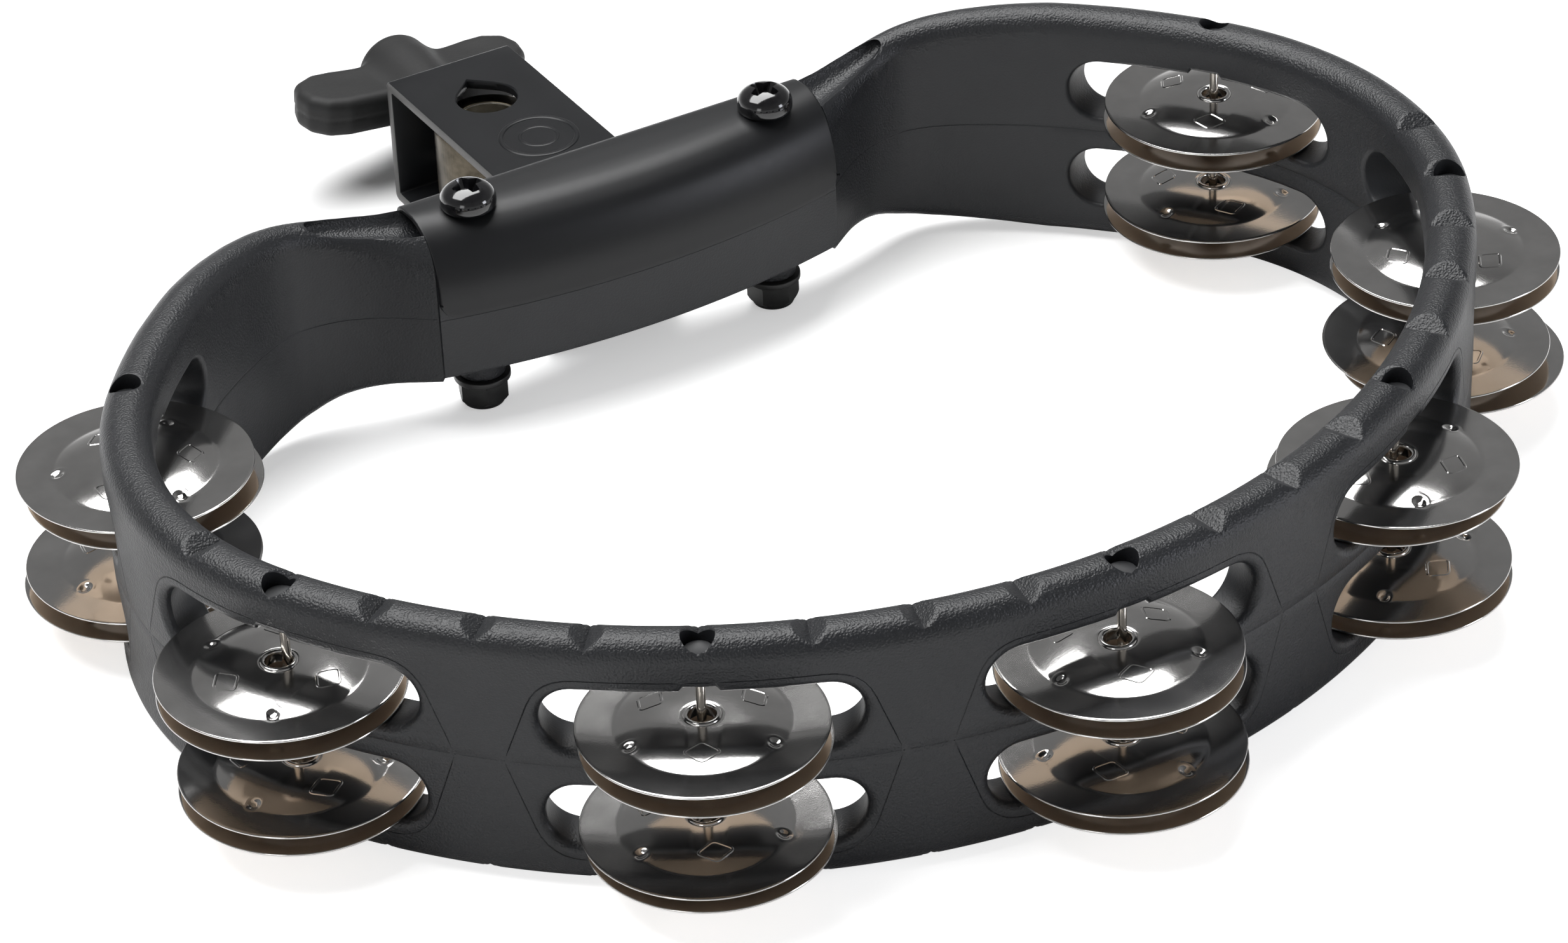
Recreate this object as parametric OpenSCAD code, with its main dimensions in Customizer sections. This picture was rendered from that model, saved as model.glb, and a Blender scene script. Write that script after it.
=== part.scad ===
// Mountable tambourine: a moulded hoop with seven jingle stations in two rows,
// a steel saddle over its handle, and a rod clamp closed by a wing nut.
// Origin: the clamped rod's axis (Z) where it crosses the hoop's mid plane.
// +Y runs from the hoop through the clamp to the wing nut; X is the mirror axis.
// The hoop's front is at -Y, its handle at the rear, next to the clamp.

/* [Hoop] */
// Height of the hoop from rim to rim
hoop_h = 55.5; // [54:0.5:58]
// Wall thickness of the hoop, inside to outside
wall_t = 10.5; // [9.5:0.5:12]
// Radius that rounds the rims
rim_r = 4.6; // [2:0.2:4.6]
// Depth of the finger grooves across the rims
groove_d = 2.0; // [0.5:0.25:2.5]

/* [Jingles] */
// Length of a jingle slot, end to end
slot_l = 61; // [56:1:64]
// Height of a jingle slot
slot_h = 13.8; // [13.4:0.1:14.2]
// Height of the top row of slots above the mid plane
row_top = 10.1; // [9.9:0.1:10.6]
// Depth of the low row of slots below the mid plane
row_low = 11.9; // [11.6:0.1:12.2]
// Diameter of a jingle plate
jingle_d = 48; // [42:0.5:50]
// Sheet thickness of a jingle plate
jingle_t = 0.5; // [0.4:0.05:0.6]
// Diameter of a jingle pin
pin_d = 1.9; // [1.6:0.1:2.2]

/* [Handle and saddle] */
// Radius of the handle's inner face, in plan
handle_r = 203; // [195:1:215]
// Sheet thickness of the saddle cover
saddle_t = 1.2; // [0.8:0.1:1.6]
// Half length of the saddle cover
saddle_half = 48.6; // [46:0.2:50]
// Distance of each saddle screw from the middle
screw_x = 36.2; // [33:0.2:38]

/* [Clamp] */
// Radius of the rod hole in the clamp's plates
rod_r = 6.8; // [6.5:0.05:7]
// Width of the clamp channel
chan_w = 30.6; // [28:0.2:32]
// Sheet thickness of the clamp channel
chan_t = 2.3; // [2:0.1:2.6]
// Height of the clamp channel
chan_h = 30.6; // [29:0.2:32]

/* [Hidden] */
$fn = 64;

gap = 0.05;            // left between pieces that touch
proud = 0.05;          // how far collars and necks stand out from the wall
half_h = hoop_h / 2;
wall_in = wall_t * 0.6;                  // the pins sit outboard of mid wall
wall_out = wall_t - wall_in;

// The hoop's centreline: a front arc, two tight corner arcs and two flat flanks.
// Angles are from +X, except front_a.
front_c = [0, -101.9];
front_r = 153.6;
front_a = 61.7;                          // half angle of the front arc
corner_r = 75.1;
corner_c = front_c + (front_r - corner_r) * [sin(front_a), -cos(front_a)];
corner_a0 = front_a - 90;
corner_a1 = 35.3;
flank_r = 150;
flank_c = corner_c + (corner_r - flank_r) * [cos(corner_a1), sin(corner_a1)];
flank_a1 = 44;

// Jingle stations, 1 to 7 from -X round the front to +X: [x, y, outward direction]
front_step = front_a / 2;                // from pin to pin on the front arc
function front_point(a) =
  [front_c[0] + front_r * sin(a), front_c[1] - front_r * cos(a), a - 90];
function corner_point(a) =
  [corner_c[0] + corner_r * cos(a), corner_c[1] + corner_r * sin(a), a];
function mirrored(p) = [-p[0], p[1], 180 - p[2]];
SIDE = [front_point(front_step), front_point(front_a), corner_point(corner_a1)];
STATIONS = [for (i = [2 : -1 : 0]) mirrored(SIDE[i]), front_point(0), for (s = SIDE) s];

// Pins, and the plugged pockets in the top rim above them
pin_z = -24;
pin_l = 46.8;
pocket_r = 3.2;
pocket_d = 4.6;

// Handle, and the saddle screws through it
handle_c = [0, -77.2 + handle_r];
rear_y = -53.8;                          // rear face of the handle
handle_top = 20.5;
handle_low = -14.4;
arch_r = 12.5;                           // rounds the handle's top inner edge
arch_depth = 34;
handle_a = asin(saddle_half / (handle_r - 6));
screw_y = -62.2;
screw_r = 3;
screw_hole_r = 3.3;
boss_z = -20.4;
washer_t = 1.45;

// Clamp
chan_z1 = 5.9;
chan_z0 = chan_z1 - chan_h;
chan_y0 = rear_y + saddle_t + 2 * gap;
chan_y1 = 19.6;
chan_bend = 1.6;                         // outer radius of the channel's bends
bolt_z = (chan_z0 + chan_z1) / 2;
shank_r = 3.9;

// ---------- placing ----------
module both_sides() for (m = [0, 1]) mirror([m, 0, 0]) children();
module at_station(s, z = 0) translate([s[0], s[1], z]) children();
module facing_out(s, z = 0) at_station(s, z) rotate([0, 0, s[2]]) children();
module at_screws(z) for (x = [-screw_x, screw_x]) translate([x, screw_y, z]) children();
// Turns Z to +Y on the eye bolt's axis, starting at y.
module on_bolt(y = 0) translate([0, y, bolt_z]) rotate([-90, 0, 0]) children();

// ---------- frame ----------
// Cross-section of the wall: outward direction along x, height along y, grown all round.
module wall_section(grow = 0) {
  translate([-wall_in + rim_r, -half_h - grow]) square([wall_t - 2 * rim_r, hoop_h + 2 * grow]);
  translate([-wall_in - grow, -half_h + rim_r]) square([wall_t + 2 * grow, hoop_h - 2 * rim_r]);
  for (x = [-wall_in + rim_r, wall_out - rim_r], y = [-half_h + rim_r, half_h - rim_r])
    translate([x, y]) circle(r = rim_r + grow);
}
module arc_wall(centre, radius, a0, a1)
  translate([centre[0], centre[1], 0]) rotate([0, 0, a0])
    rotate_extrude(angle = a1 - a0, $fn = 180) translate([radius, 0]) wall_section();
// A short collar, a hair proud of the wall, joins two arcs at station s.
module collar(s) facing_out(s) rotate([90, 0, 0])
  linear_extrude(3, center = true) wall_section(proud);

// Angles by which the arcs stop short of their ends
arc_trim = 0.3;
corner_trim = 0.6;
flank_trim = 0.1;
module half_wall() {
  arc_wall(corner_c, corner_r, corner_a0 + corner_trim, corner_a1 - corner_trim);
  collar(SIDE[1]);
  collar(SIDE[2]);
  arc_wall(flank_c, flank_r, corner_a1 + arc_trim, flank_a1 - flank_trim);
}

// A smooth curve through points: Catmull-Rom, with a number of steps to each span.
function spline(p0, p1, p2, p3, t) = 0.5 * ((2 * p1) + (p2 - p0) * t
  + (2 * p0 - 5 * p1 + 4 * p2 - p3) * t * t + (3 * p1 - p0 - 3 * p2 + p3) * t * t * t);
function curve(p, steps) = [
  for (i = [0 : len(p) - 2], k = [0 : steps - 1])
    spline(p[max(i - 1, 0)], p[i], p[i + 1], p[min(i + 2, len(p) - 1)], k / steps),
  p[len(p) - 1]];

// The neck runs from the end of the flank to the handle, and gets lower on the way.
function flank_point(out, a) = flank_c + (flank_r + out) * [cos(a), sin(a)];
neck_lap = flank_a1 - 1;                 // the neck starts inside the flank
face_in = -wall_in - proud;
face_out = wall_out + proud;
// Plan outline, [x, y]: inner face towards the handle, outer face back again
neck_in = concat([flank_point(face_in, neck_lap)],
  curve([flank_point(face_in, flank_a1), [96.4, -68.6], [84.7, -60.7], [79.2, -58.0],
    [73.6, -56.9], [66.5, -57.9], [57.5, -62.4], [46.0, -70.2]], 5));
neck_out = concat(
  curve([[46.0, -54.2], [58.0, -53.0], [66.0, -50.9], [74.5, -49.7], [84.8, -51.7],
    [96.4, -57.2], [108.0, -65.3], flank_point(face_out, flank_a1)], 5),
  [flank_point(face_out, neck_lap)]);
// Rear view outline, [x, z]: top edge outwards, bottom edge back again
neck_top = [[40, 20.2], [52, 20.4], [62, 20.9], [70, 22.2], [78, 24.2], [88, 25.9],
  [98, 27.1], [106, 27.85], [125, 27.85]];
neck_low = [[125, -27.85], [106, -27.85], [98, -27.3], [86, -25.6], [80, -24.3], [73, -22.3],
  [67, -20.0], [62, -18.4], [56, -17.2], [50, -16.2], [40, -15.6]];
module neck() intersection() {
  translate([0, 0, -half_h - proud]) linear_extrude(hoop_h + 2 * proud)
    polygon(concat(neck_in, neck_out));
  rotate([90, 0, 0]) linear_extrude(200, center = true)
    polygon(concat(curve(neck_top, 3), curve(neck_low, 3)));
}

// Section of the handle in the plane through its arc's centre: flat top, arched inner edge.
module arch(inset, low) {
  face = handle_r - inset;
  top = handle_top - inset;
  r = arch_r - inset;
  back = face - arch_depth;
  polygon(concat([[back, low], [face, low]],
    [for (a = [0 : 6 : 90]) [face - r + r * cos(a), top - r + r * sin(a)]], [[back, top]]));
}
module handle_sweep(inset, low, half_a)
  translate([handle_c[0], handle_c[1], 0]) rotate([0, 0, -90 - half_a])
    rotate_extrude(angle = 2 * half_a, $fn = 360) arch(inset, low);
// A box that limits a handle sweep to half_x each way, and to y1 at the rear.
module handle_box(half_x, y1) translate([-half_x, -90, -40]) cube([2 * half_x, 90 + y1, 80]);
module handle_core() intersection() {
  handle_sweep(saddle_t + gap, handle_low, handle_a + 3);
  handle_box(saddle_half + 1, rear_y);
}

// A round-ended slot through the wall
module slot_cut(s, z) facing_out(s, z) {
  end = slot_l / 2 - slot_h / 2;
  from = -24;
  run = 36;
  for (y = [-end, end])
    translate([from, y, 0]) rotate([0, 90, 0]) cylinder(h = run, d = slot_h, $fn = 48);
  translate([from, -end, -slot_h / 2]) cube([run, 2 * end, slot_h]);
}
// A V groove across both rims
module groove_cut(s) {
  half_w = 3.2;
  for (m = [0, 1]) mirror([0, 0, m]) facing_out(s, half_h)
    rotate([90, 0, 90]) linear_extrude(30, center = true)
      polygon([[-half_w, 0.2], [0, -groove_d], [half_w, 0.2], [0, 3]]);
}
// A pin's bore and its pocket in the top rim
module pin_cut(s) at_station(s) {
  bore_half = 24.1;
  translate([0, 0, -bore_half]) cylinder(h = 2 * bore_half, r = pin_d / 2 + gap, $fn = 32);
  translate([0, 0, half_h - pocket_d]) cylinder(h = 10, r = pocket_r, $fn = 48);
}
// A groove in the neck's top that tapers away from the handle
module neck_groove() translate([44, -60.4, 21.6]) rotate([0, 90, 16])
  cylinder(h = 28, r1 = 5.4, r2 = 0.4, $fn = 48);
module frame() color("#26282a") difference() {
  union() {
    arc_wall(front_c, front_r, -90 - front_a + arc_trim, -90 + front_a - arc_trim);
    both_sides() {
      half_wall();
      intersection() {
        neck();
        translate([saddle_half + 0.12, -120, -40]) cube([80, 120, 80]);
      }
    }
    at_screws(boss_z) cylinder(h = 12, r = 6.3, $fn = 48);
    handle_core();
  }
  for (s = STATIONS, z = [-row_low, row_top]) slot_cut(s, z);
  for (s = STATIONS) pin_cut(s);
  for (k = [-8 : 8]) groove_cut(front_point(k * front_step / 4));
  both_sides() groove_cut(corner_point(corner_a0 + (corner_a1 - corner_a0) / 4));
  at_screws(-30) cylinder(h = 60, r = screw_hole_r, $fn = 48);
  both_sides() neck_groove();
}

// ---------- saddle ----------
flange_w = 34;
flange_h = 29;
module saddle_cover() color("#17181a") difference() {
  union() {
    difference() {
      intersection() {
        handle_sweep(0, 0.6, handle_a);
        handle_box(saddle_half, rear_y + saddle_t + gap);
      }
      intersection() {
        handle_sweep(saddle_t, -5, handle_a + 3);
        handle_box(60, rear_y + gap);
      }
    }
    // rear flange, down past the end of the clamp channel
    translate([-flange_w / 2, rear_y + gap, chan_z0 - 1]) cube([flange_w, saddle_t, flange_h]);
  }
  at_screws(0) cylinder(h = 40, r = screw_hole_r, $fn = 48);
}

// ---------- clamp ----------
// Rod hole: round, with a V notch towards the wing nut.
module rod_hole_2d() {
  tip = rod_r * 1.38;
  half_w = 0.53 * tip;
  circle(r = rod_r, $fn = 96);
  polygon([[0, tip], [-half_w, tip - half_w], [0, 0], [half_w, tip - half_w]]);
}
// Side view of the channel, [y, z]: a U open towards the saddle, its two bends rounded.
module channel_2d() {
  chan_l = chan_y1 - chan_y0;
  difference() {
    union() {
      translate([chan_y0, chan_z0]) square([chan_l - chan_bend, chan_h]);
      translate([chan_y0, chan_z0 + chan_bend]) square([chan_l, chan_h - 2 * chan_bend]);
      for (z = [chan_z0 + chan_bend, chan_z1 - chan_bend])
        translate([chan_y1 - chan_bend, z]) circle(r = chan_bend, $fn = 48);
    }
    translate([chan_y0 - 1, chan_z0 + chan_t]) square([chan_l + 1 - chan_t, chan_h - 2 * chan_t]);
  }
}
module clamp_channel() color("#1b1c1e") difference() {
  rotate([90, 0, 90]) linear_extrude(chan_w, center = true) channel_2d();
  translate([0, 0, chan_z0 - 1]) linear_extrude(chan_h + 2) rod_hole_2d();
  on_bolt() cylinder(h = 30, r = shank_r + 0.4, $fn = 48);
  // ring pressed into the top plate
  translate([1.4, -21.9, chan_z1 - 0.3]) difference() {
    cylinder(h = 1, r = 8.9, $fn = 64);
    translate([0, 0, -0.1]) cylinder(h = 2, r = 8.0, $fn = 64);
  }
}

eye_r = 12.4;
eye_h = 20;
module eye_bolt() color("#b9b7b0") difference() {
  union() {
    translate([0, 0, bolt_z - eye_h / 2]) cylinder(h = eye_h, r = eye_r, $fn = 96);
    on_bolt() cylinder(h = 40, r = shank_r, $fn = 48);
  }
  translate([0, 0, bolt_z - 20]) cylinder(h = 40, r = rod_r + 0.2, $fn = 96);
}

insert_r = 5.6;
insert_l = 14;
insert_flange_t = 2;
module wing_nut_insert() color("#9c9a94") on_bolt(chan_y1 + gap) difference() {
  union() {
    cylinder(h = insert_flange_t, r = 7.6, $fn = 64);
    cylinder(h = insert_l, r = insert_r, $fn = 64);
  }
  translate([0, 0, -1]) cylinder(h = 20, r = shank_r + gap, $fn = 48);
}

// Hub of the grip: [radius, distance from its clamp end]
hub_profile = [[0, 0], [7.8, 0], [8.0, 4], [8.4, 13], [8.6, 21], [8.1, 24.2], [6.6, 25.3],
  [0, 25.5]];
// Upright posts that a wing is stretched over: [x, y, height, radius]
wing_posts = [[7, 36.2, 9.2, 6.6], [6, 41, 9.2, 5], [20.5, 37.6, 9.4, 6.2], [22, 41.2, 9.4, 6.4]];
wing_tilt = 4.2;
module wing_nut_grip() color("#1d1d1d") difference() {
  union() {
    on_bolt(chan_y1 + insert_flange_t + 2 * gap) rotate_extrude($fn = 64) polygon(hub_profile);
    translate([0, 0, bolt_z]) rotate([0, wing_tilt, 0]) both_sides() hull()
      for (p = wing_posts) translate([p[0], p[1], -p[2] / 2]) cylinder(h = p[2], r = p[3], $fn = 32);
  }
  on_bolt(chan_y1 - 1) cylinder(h = insert_l + 1.2, r = insert_r + gap, $fn = 64);
  on_bolt(chan_y1 - 1) cylinder(h = 26, r = shank_r + 0.3, $fn = 48);
}

// ---------- saddle hardware ----------
head_r = 6;
head_h = 5.2;
head_flat_r = 1.5;                       // flat middle of the domed head
head_edge_h = 1.8;                       // straight edge below the dome
module cross_recess() for (a = [45, 135])
  rotate(a) translate([-3, -0.75, -2.4]) cube([6, 1.5, 6]);
module head_2d() intersection() {
  union() {
    square([head_r, head_edge_h]);
    square([head_flat_r, head_h]);
    translate([head_flat_r, head_edge_h])
      scale([head_r - head_flat_r, head_h - head_edge_h]) circle(r = 1, $fn = 48);
  }
  square([head_r, head_h]);
}
module saddle_screws() color("#0f0f10") at_screws(handle_top + gap) difference() {
  union() {
    rotate_extrude($fn = 64) head_2d();
    translate([0, 0, -48.6]) cylinder(h = 49, r = screw_r, $fn = 48);
  }
  translate([0, 0, head_h]) cross_recess();
}
module screw_washers() color("#141415") at_screws(boss_z - gap - washer_t) difference() {
  cylinder(h = washer_t, r = 6.2, $fn = 64);
  translate([0, 0, -1]) cylinder(h = 4, r = screw_r + 0.2, $fn = 48);
}
// A hexagon with bevelled corners and a round collar below it
module lock_nuts() color("#111112") at_screws(boss_z - washer_t - 2 * gap)
  mirror([0, 0, 1]) difference() {
    union() {
      intersection() {
        cylinder(h = 4.9, d = 11.55, $fn = 6);
        cylinder(h = 6, r1 = 5.9, r2 = 5.3, $fn = 64);
      }
      cylinder(h = 6.1, r = 4.7, $fn = 64);
    }
    translate([0, 0, -1]) cylinder(h = 9, r = screw_r + gap, $fn = 48);
  }

// ---------- jingles ----------
module jingle_pin(i) color("#c9c7c2") at_station(STATIONS[i - 1], pin_z)
  cylinder(h = pin_l, d = pin_d, $fn = 32);
module pin_hole_plugs() color("#202122") for (s = STATIONS)
  at_station(s, half_h - pocket_d + gap) cylinder(h = 1.4, r = pocket_r - gap, $fn = 48);

// A jingle plate: rolled collar, dome, and a rim that turns up slightly.
collar_r = 2.75;
dome_in = collar_r + 1.2;
dome_r = 16.5;
dome_h = 2.6;
rim_w = jingle_d / 2 - dome_r;
rim_rise = 0.9;
// Height of the plate's underside at radius r
function plate_z(r) = r < dome_r
  ? dome_h * pow(cos(90 * (r - dome_in) / (dome_r - dome_in)), 0.8)
  : rim_rise * pow((r - dome_r) / rim_w, 1.4);
module plate() {
  radii = [for (k = [0 : 9]) dome_in + (dome_r - dome_in) * k / 9,
    for (k = [1 : 5]) dome_r + rim_w * k / 5];
  top = [for (r = radii) [r, plate_z(r) + jingle_t]];
  under = [for (i = [len(radii) - 1 : -1 : 1]) [radii[i], plate_z(radii[i])]];
  collar_out = collar_r + jingle_t;
  collar = [[collar_out + 0.5, dome_h], [collar_out, dome_h - 0.6], [collar_out, 0.1],
    [collar_r, 0.1], [collar_r, dome_h - 0.4], [collar_r + 0.3, dome_h + 0.25]];
  rotate_extrude($fn = 96) polygon(concat(top, under, collar));
}
// Two plates lie stacked on the floor of each slot.
lower = 0;
upper = 1;
module jingle(i, row_z, level) color("#77706a")
  at_station(STATIONS[i - 1], row_z - slot_h / 2 + gap + level * (dome_h + jingle_t + gap)) plate();

frame();
saddle_cover();
clamp_channel();
saddle_screws();
screw_washers();
lock_nuts();
eye_bolt();
wing_nut_insert();
wing_nut_grip();
pin_hole_plugs();
jingle_pin(1);  // pin_1
jingle_pin(2);  // pin_2
jingle_pin(3);  // pin_3
jingle_pin(4);  // pin_4
jingle_pin(5);  // pin_5
jingle_pin(6);  // pin_6
jingle_pin(7);  // pin_7
jingle(1, row_top, upper);  // jingle_1_top_upper
jingle(1, row_top, lower);  // jingle_1_top_lower
jingle(1, -row_low, upper);  // jingle_1_low_upper
jingle(1, -row_low, lower);  // jingle_1_low_lower
jingle(2, row_top, upper);  // jingle_2_top_upper
jingle(2, row_top, lower);  // jingle_2_top_lower
jingle(2, -row_low, upper);  // jingle_2_low_upper
jingle(2, -row_low, lower);  // jingle_2_low_lower
jingle(3, row_top, upper);  // jingle_3_top_upper
jingle(3, row_top, lower);  // jingle_3_top_lower
jingle(3, -row_low, upper);  // jingle_3_low_upper
jingle(3, -row_low, lower);  // jingle_3_low_lower
jingle(4, row_top, upper);  // jingle_4_top_upper
jingle(4, row_top, lower);  // jingle_4_top_lower
jingle(4, -row_low, upper);  // jingle_4_low_upper
jingle(4, -row_low, lower);  // jingle_4_low_lower
jingle(5, row_top, upper);  // jingle_5_top_upper
jingle(5, row_top, lower);  // jingle_5_top_lower
jingle(5, -row_low, upper);  // jingle_5_low_upper
jingle(5, -row_low, lower);  // jingle_5_low_lower
jingle(6, row_top, upper);  // jingle_6_top_upper
jingle(6, row_top, lower);  // jingle_6_top_lower
jingle(6, -row_low, upper);  // jingle_6_low_upper
jingle(6, -row_low, lower);  // jingle_6_low_lower
jingle(7, row_top, upper);  // jingle_7_top_upper
jingle(7, row_top, lower);  // jingle_7_top_lower
jingle(7, -row_low, upper);  // jingle_7_low_upper
jingle(7, -row_low, lower);  // jingle_7_low_lower
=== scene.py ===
# A tambourine on a mounting clamp: a D-shaped hoop with seven upright pins, four loose jingles
# on each, and a straight handle under a steel saddle that carries the clamp, eye bolt and wing nut.
# The hoop lies flat round the z axis: front is -y, right is +x, top is +z. The clamp points to +y.
# Shapes are in millimetres; lights, camera, floor and shader distances are in metres.
import math

import bmesh
import bpy
import numpy as np
from mathutils import Matrix, Vector
from mathutils.geometry import delaunay_2d_cdt


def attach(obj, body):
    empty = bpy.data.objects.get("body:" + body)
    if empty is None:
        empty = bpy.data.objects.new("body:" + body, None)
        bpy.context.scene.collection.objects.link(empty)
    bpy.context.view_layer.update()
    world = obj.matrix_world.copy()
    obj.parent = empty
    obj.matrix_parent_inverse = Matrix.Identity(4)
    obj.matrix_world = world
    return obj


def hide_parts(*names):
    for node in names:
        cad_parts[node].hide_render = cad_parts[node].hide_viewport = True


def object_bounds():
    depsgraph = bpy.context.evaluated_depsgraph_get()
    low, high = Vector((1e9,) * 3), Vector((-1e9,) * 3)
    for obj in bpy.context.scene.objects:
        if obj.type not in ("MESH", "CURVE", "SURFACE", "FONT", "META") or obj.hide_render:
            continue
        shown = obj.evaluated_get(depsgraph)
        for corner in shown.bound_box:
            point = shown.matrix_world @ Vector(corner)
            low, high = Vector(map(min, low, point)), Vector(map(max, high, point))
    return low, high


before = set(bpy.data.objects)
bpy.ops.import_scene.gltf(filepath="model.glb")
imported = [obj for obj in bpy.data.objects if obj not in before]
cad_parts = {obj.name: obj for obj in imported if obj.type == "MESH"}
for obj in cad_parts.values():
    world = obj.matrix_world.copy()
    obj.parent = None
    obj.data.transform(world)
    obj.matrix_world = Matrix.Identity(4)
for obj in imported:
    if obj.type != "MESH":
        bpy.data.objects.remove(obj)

CAD_LOW, CAD_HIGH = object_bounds()
MM = 0.001
rad = math.radians
SIDES = ((-1, "left"), (1, "right"))


# ------------------------------------------------------------------ mesh helpers
# A shape is a pair: vertices in mm, and faces.
def new_mesh(name, shape, at):
    verts, faces = shape
    mesh = bpy.data.meshes.new(name)
    scaled = (np.asarray(verts, float) + at) * MM
    mesh.from_pydata([tuple(v) for v in scaled], [], [tuple(int(i) for i in f) for f in faces])
    return mesh


def new_object(name, data):
    ob = bpy.data.objects.new(name, data)
    bpy.context.scene.collection.objects.link(ob)
    return ob


def smooth(mesh, sharp):
    mesh.shade_smooth()
    mesh.set_sharp_from_angle(angle=rad(sharp))


def tidy(mesh, weld):
    """Welds within weld (mm), drops degenerate and loose parts, turns the normals outwards."""
    bm = bmesh.new()
    bm.from_mesh(mesh)
    if weld:
        bmesh.ops.remove_doubles(bm, verts=bm.verts, dist=weld * MM)
    bmesh.ops.dissolve_degenerate(bm, edges=bm.edges, dist=1e-7)
    loose = [v for v in bm.verts if not v.link_faces]
    bmesh.ops.delete(bm, geom=loose, context="VERTS")
    bmesh.ops.recalc_face_normals(bm, faces=bm.faces)
    bm.to_mesh(mesh)
    bm.free()


def add_piece(name, shape, body, materials, replaced, at=(0, 0, 0), sharp=35.0,
              weld=None, face_materials=None, grain=None):
    mesh = new_mesh(name, shape, at)
    for material in materials:
        mesh.materials.append(material)
    if face_materials is not None:
        mesh.polygons.foreach_set("material_index", np.asarray(face_materials, np.int32))
    if grain is not None:
        attribute = mesh.attributes.new("grain", "FLOAT", "POINT")
        attribute.data.foreach_set("value", np.asarray(grain, np.float32))
    mesh.update()
    ob = new_object(name, mesh)
    tidy(mesh, weld)
    smooth(mesh, sharp)
    mesh.update()
    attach(ob, body)
    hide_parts(replaced)
    return ob


def combine(ob, shape, at=(0, 0, 0), operation="DIFFERENCE"):
    """Applies a boolean with a temporary tool object."""
    tool_mesh = new_mesh("tool", shape, at)
    bm = bmesh.new()
    bm.from_mesh(tool_mesh)
    bmesh.ops.recalc_face_normals(bm, faces=bm.faces)
    bm.to_mesh(tool_mesh)
    bm.free()
    tool = new_object("tool", tool_mesh)
    modifier = ob.modifiers.new("boolean", "BOOLEAN")
    modifier.operation = operation
    modifier.object = tool
    modifier.solver = "EXACT"
    depsgraph = bpy.context.evaluated_depsgraph_get()
    result = bpy.data.meshes.new_from_object(ob.evaluated_get(depsgraph), depsgraph=depsgraph)
    ob.modifiers.clear()
    old = ob.data
    ob.data = result
    bpy.data.meshes.remove(old)
    bpy.data.objects.remove(tool)
    bpy.data.meshes.remove(tool_mesh)


def ring_quads(a, b):
    """Quads between two closed rings of vertex numbers."""
    nexts = [(k, (k + 1) % len(a)) for k in range(len(a))]
    return [(a[k], a[k2], b[k2], b[k]) for k, k2 in nexts]


def lathe(profile, count=96, closed=False):
    """Turns a profile of (radius, z) round z; a zero radius becomes a pole."""
    verts, faces, rings = [], [], []
    for r, z in profile:
        size = 1 if r < 1e-6 else count
        rings.append(list(range(len(verts), len(verts) + size)))
        for k in range(size):
            angle = 2 * math.pi * k / count
            verts.append((r * math.cos(angle), r * math.sin(angle), z))
    for a, b in zip(rings, rings[1:] + (rings[:1] if closed else [])):
        if len(a) == 1:
            faces += [(a[0], b[(k + 1) % count], b[k]) for k in range(count)]
        elif len(b) == 1:
            faces += [(a[k], a[(k + 1) % count], b[0]) for k in range(count)]
        else:
            faces += ring_quads(a, b)
    return np.array(verts, float), faces


def along_y(shape):
    """Lays a shape turned round z along y."""
    verts, faces = shape
    return verts[:, [0, 2, 1]], faces


def loft(loops, flip_last=False):
    """Joins equal closed loops of 3D points and caps both ends with one face each."""
    size = len(loops[0])
    rings = [list(range(i * size, (i + 1) * size)) for i in range(len(loops))]
    faces = []
    for a, b in zip(rings, rings[1:]):
        faces += ring_quads(a, b)
    faces.append(tuple(rings[0]))
    faces.append(tuple(rings[-1][::-1] if flip_last else rings[-1]))
    return [point for loop in loops for point in loop], faces


def merge(shapes):
    verts, faces = [], []
    for part_verts, part_faces in shapes:
        start = len(verts)
        verts += [tuple(v) for v in part_verts]
        faces += [tuple(i + start for i in f) for f in part_faces]
    return verts, faces


def end_quads(outer, inner, flip):
    """Quads closing the end of a bent sheet, between its outer and inner runs."""
    quads = [(outer[k], outer[k + 1], inner[k + 1], inner[k]) for k in range(len(outer) - 1)]
    return quads if flip else [quad[::-1] for quad in quads]


def rounded(profile, radii, count):
    """Rounds the inner corners of an open polyline with arcs of count steps."""
    out = [profile[0]]
    for before, corner, after, radius in zip(profile, profile[1:], profile[2:], radii):
        if radius == 0:
            out.append(corner)
            continue
        corner = np.array(corner, float)
        u, v = np.array(before) - corner, np.array(after) - corner
        u, v = u / np.linalg.norm(u), v / np.linalg.norm(v)
        half = math.acos(float(u @ v)) / 2
        reach = radius / math.tan(half)
        centre = corner + (u + v) / np.linalg.norm(u + v) * (radius / math.sin(half))
        first = math.atan2(*(corner + u * reach - centre)[::-1])
        last = math.atan2(*(corner + v * reach - centre)[::-1])
        turn = (last - first + math.pi) % (2 * math.pi) - math.pi
        for k in range(count + 1):
            angle = first + turn * k / count
            out.append((centre[0] + radius * math.cos(angle),
                        centre[1] + radius * math.sin(angle)))
    out.append(profile[-1])
    return out


def spline(points, count):
    """Catmull-Rom curve with count steps per span."""
    points = [np.array(p, float) for p in points]
    out = []
    for i in range(len(points) - 1):
        p0, p1, p2 = points[max(i - 1, 0)], points[i], points[i + 1]
        p3 = points[min(i + 2, len(points) - 1)]
        for k in range(count):
            t = k / count
            out.append(0.5 * (2 * p1 + (p2 - p0) * t + (2 * p0 - 5 * p1 + 4 * p2 - p3) * t * t
                              + (3 * p1 - p0 - 3 * p2 + p3) * t ** 3))
    out.append(points[-1])
    return np.array(out)


def bend(start, corner, end, count):
    """Points on the quadratic curve that rounds a corner."""
    return [(1 - t) ** 2 * start + 2 * t * (1 - t) * corner + t ** 2 * end
            for t in np.linspace(0, 1, count)]


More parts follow.
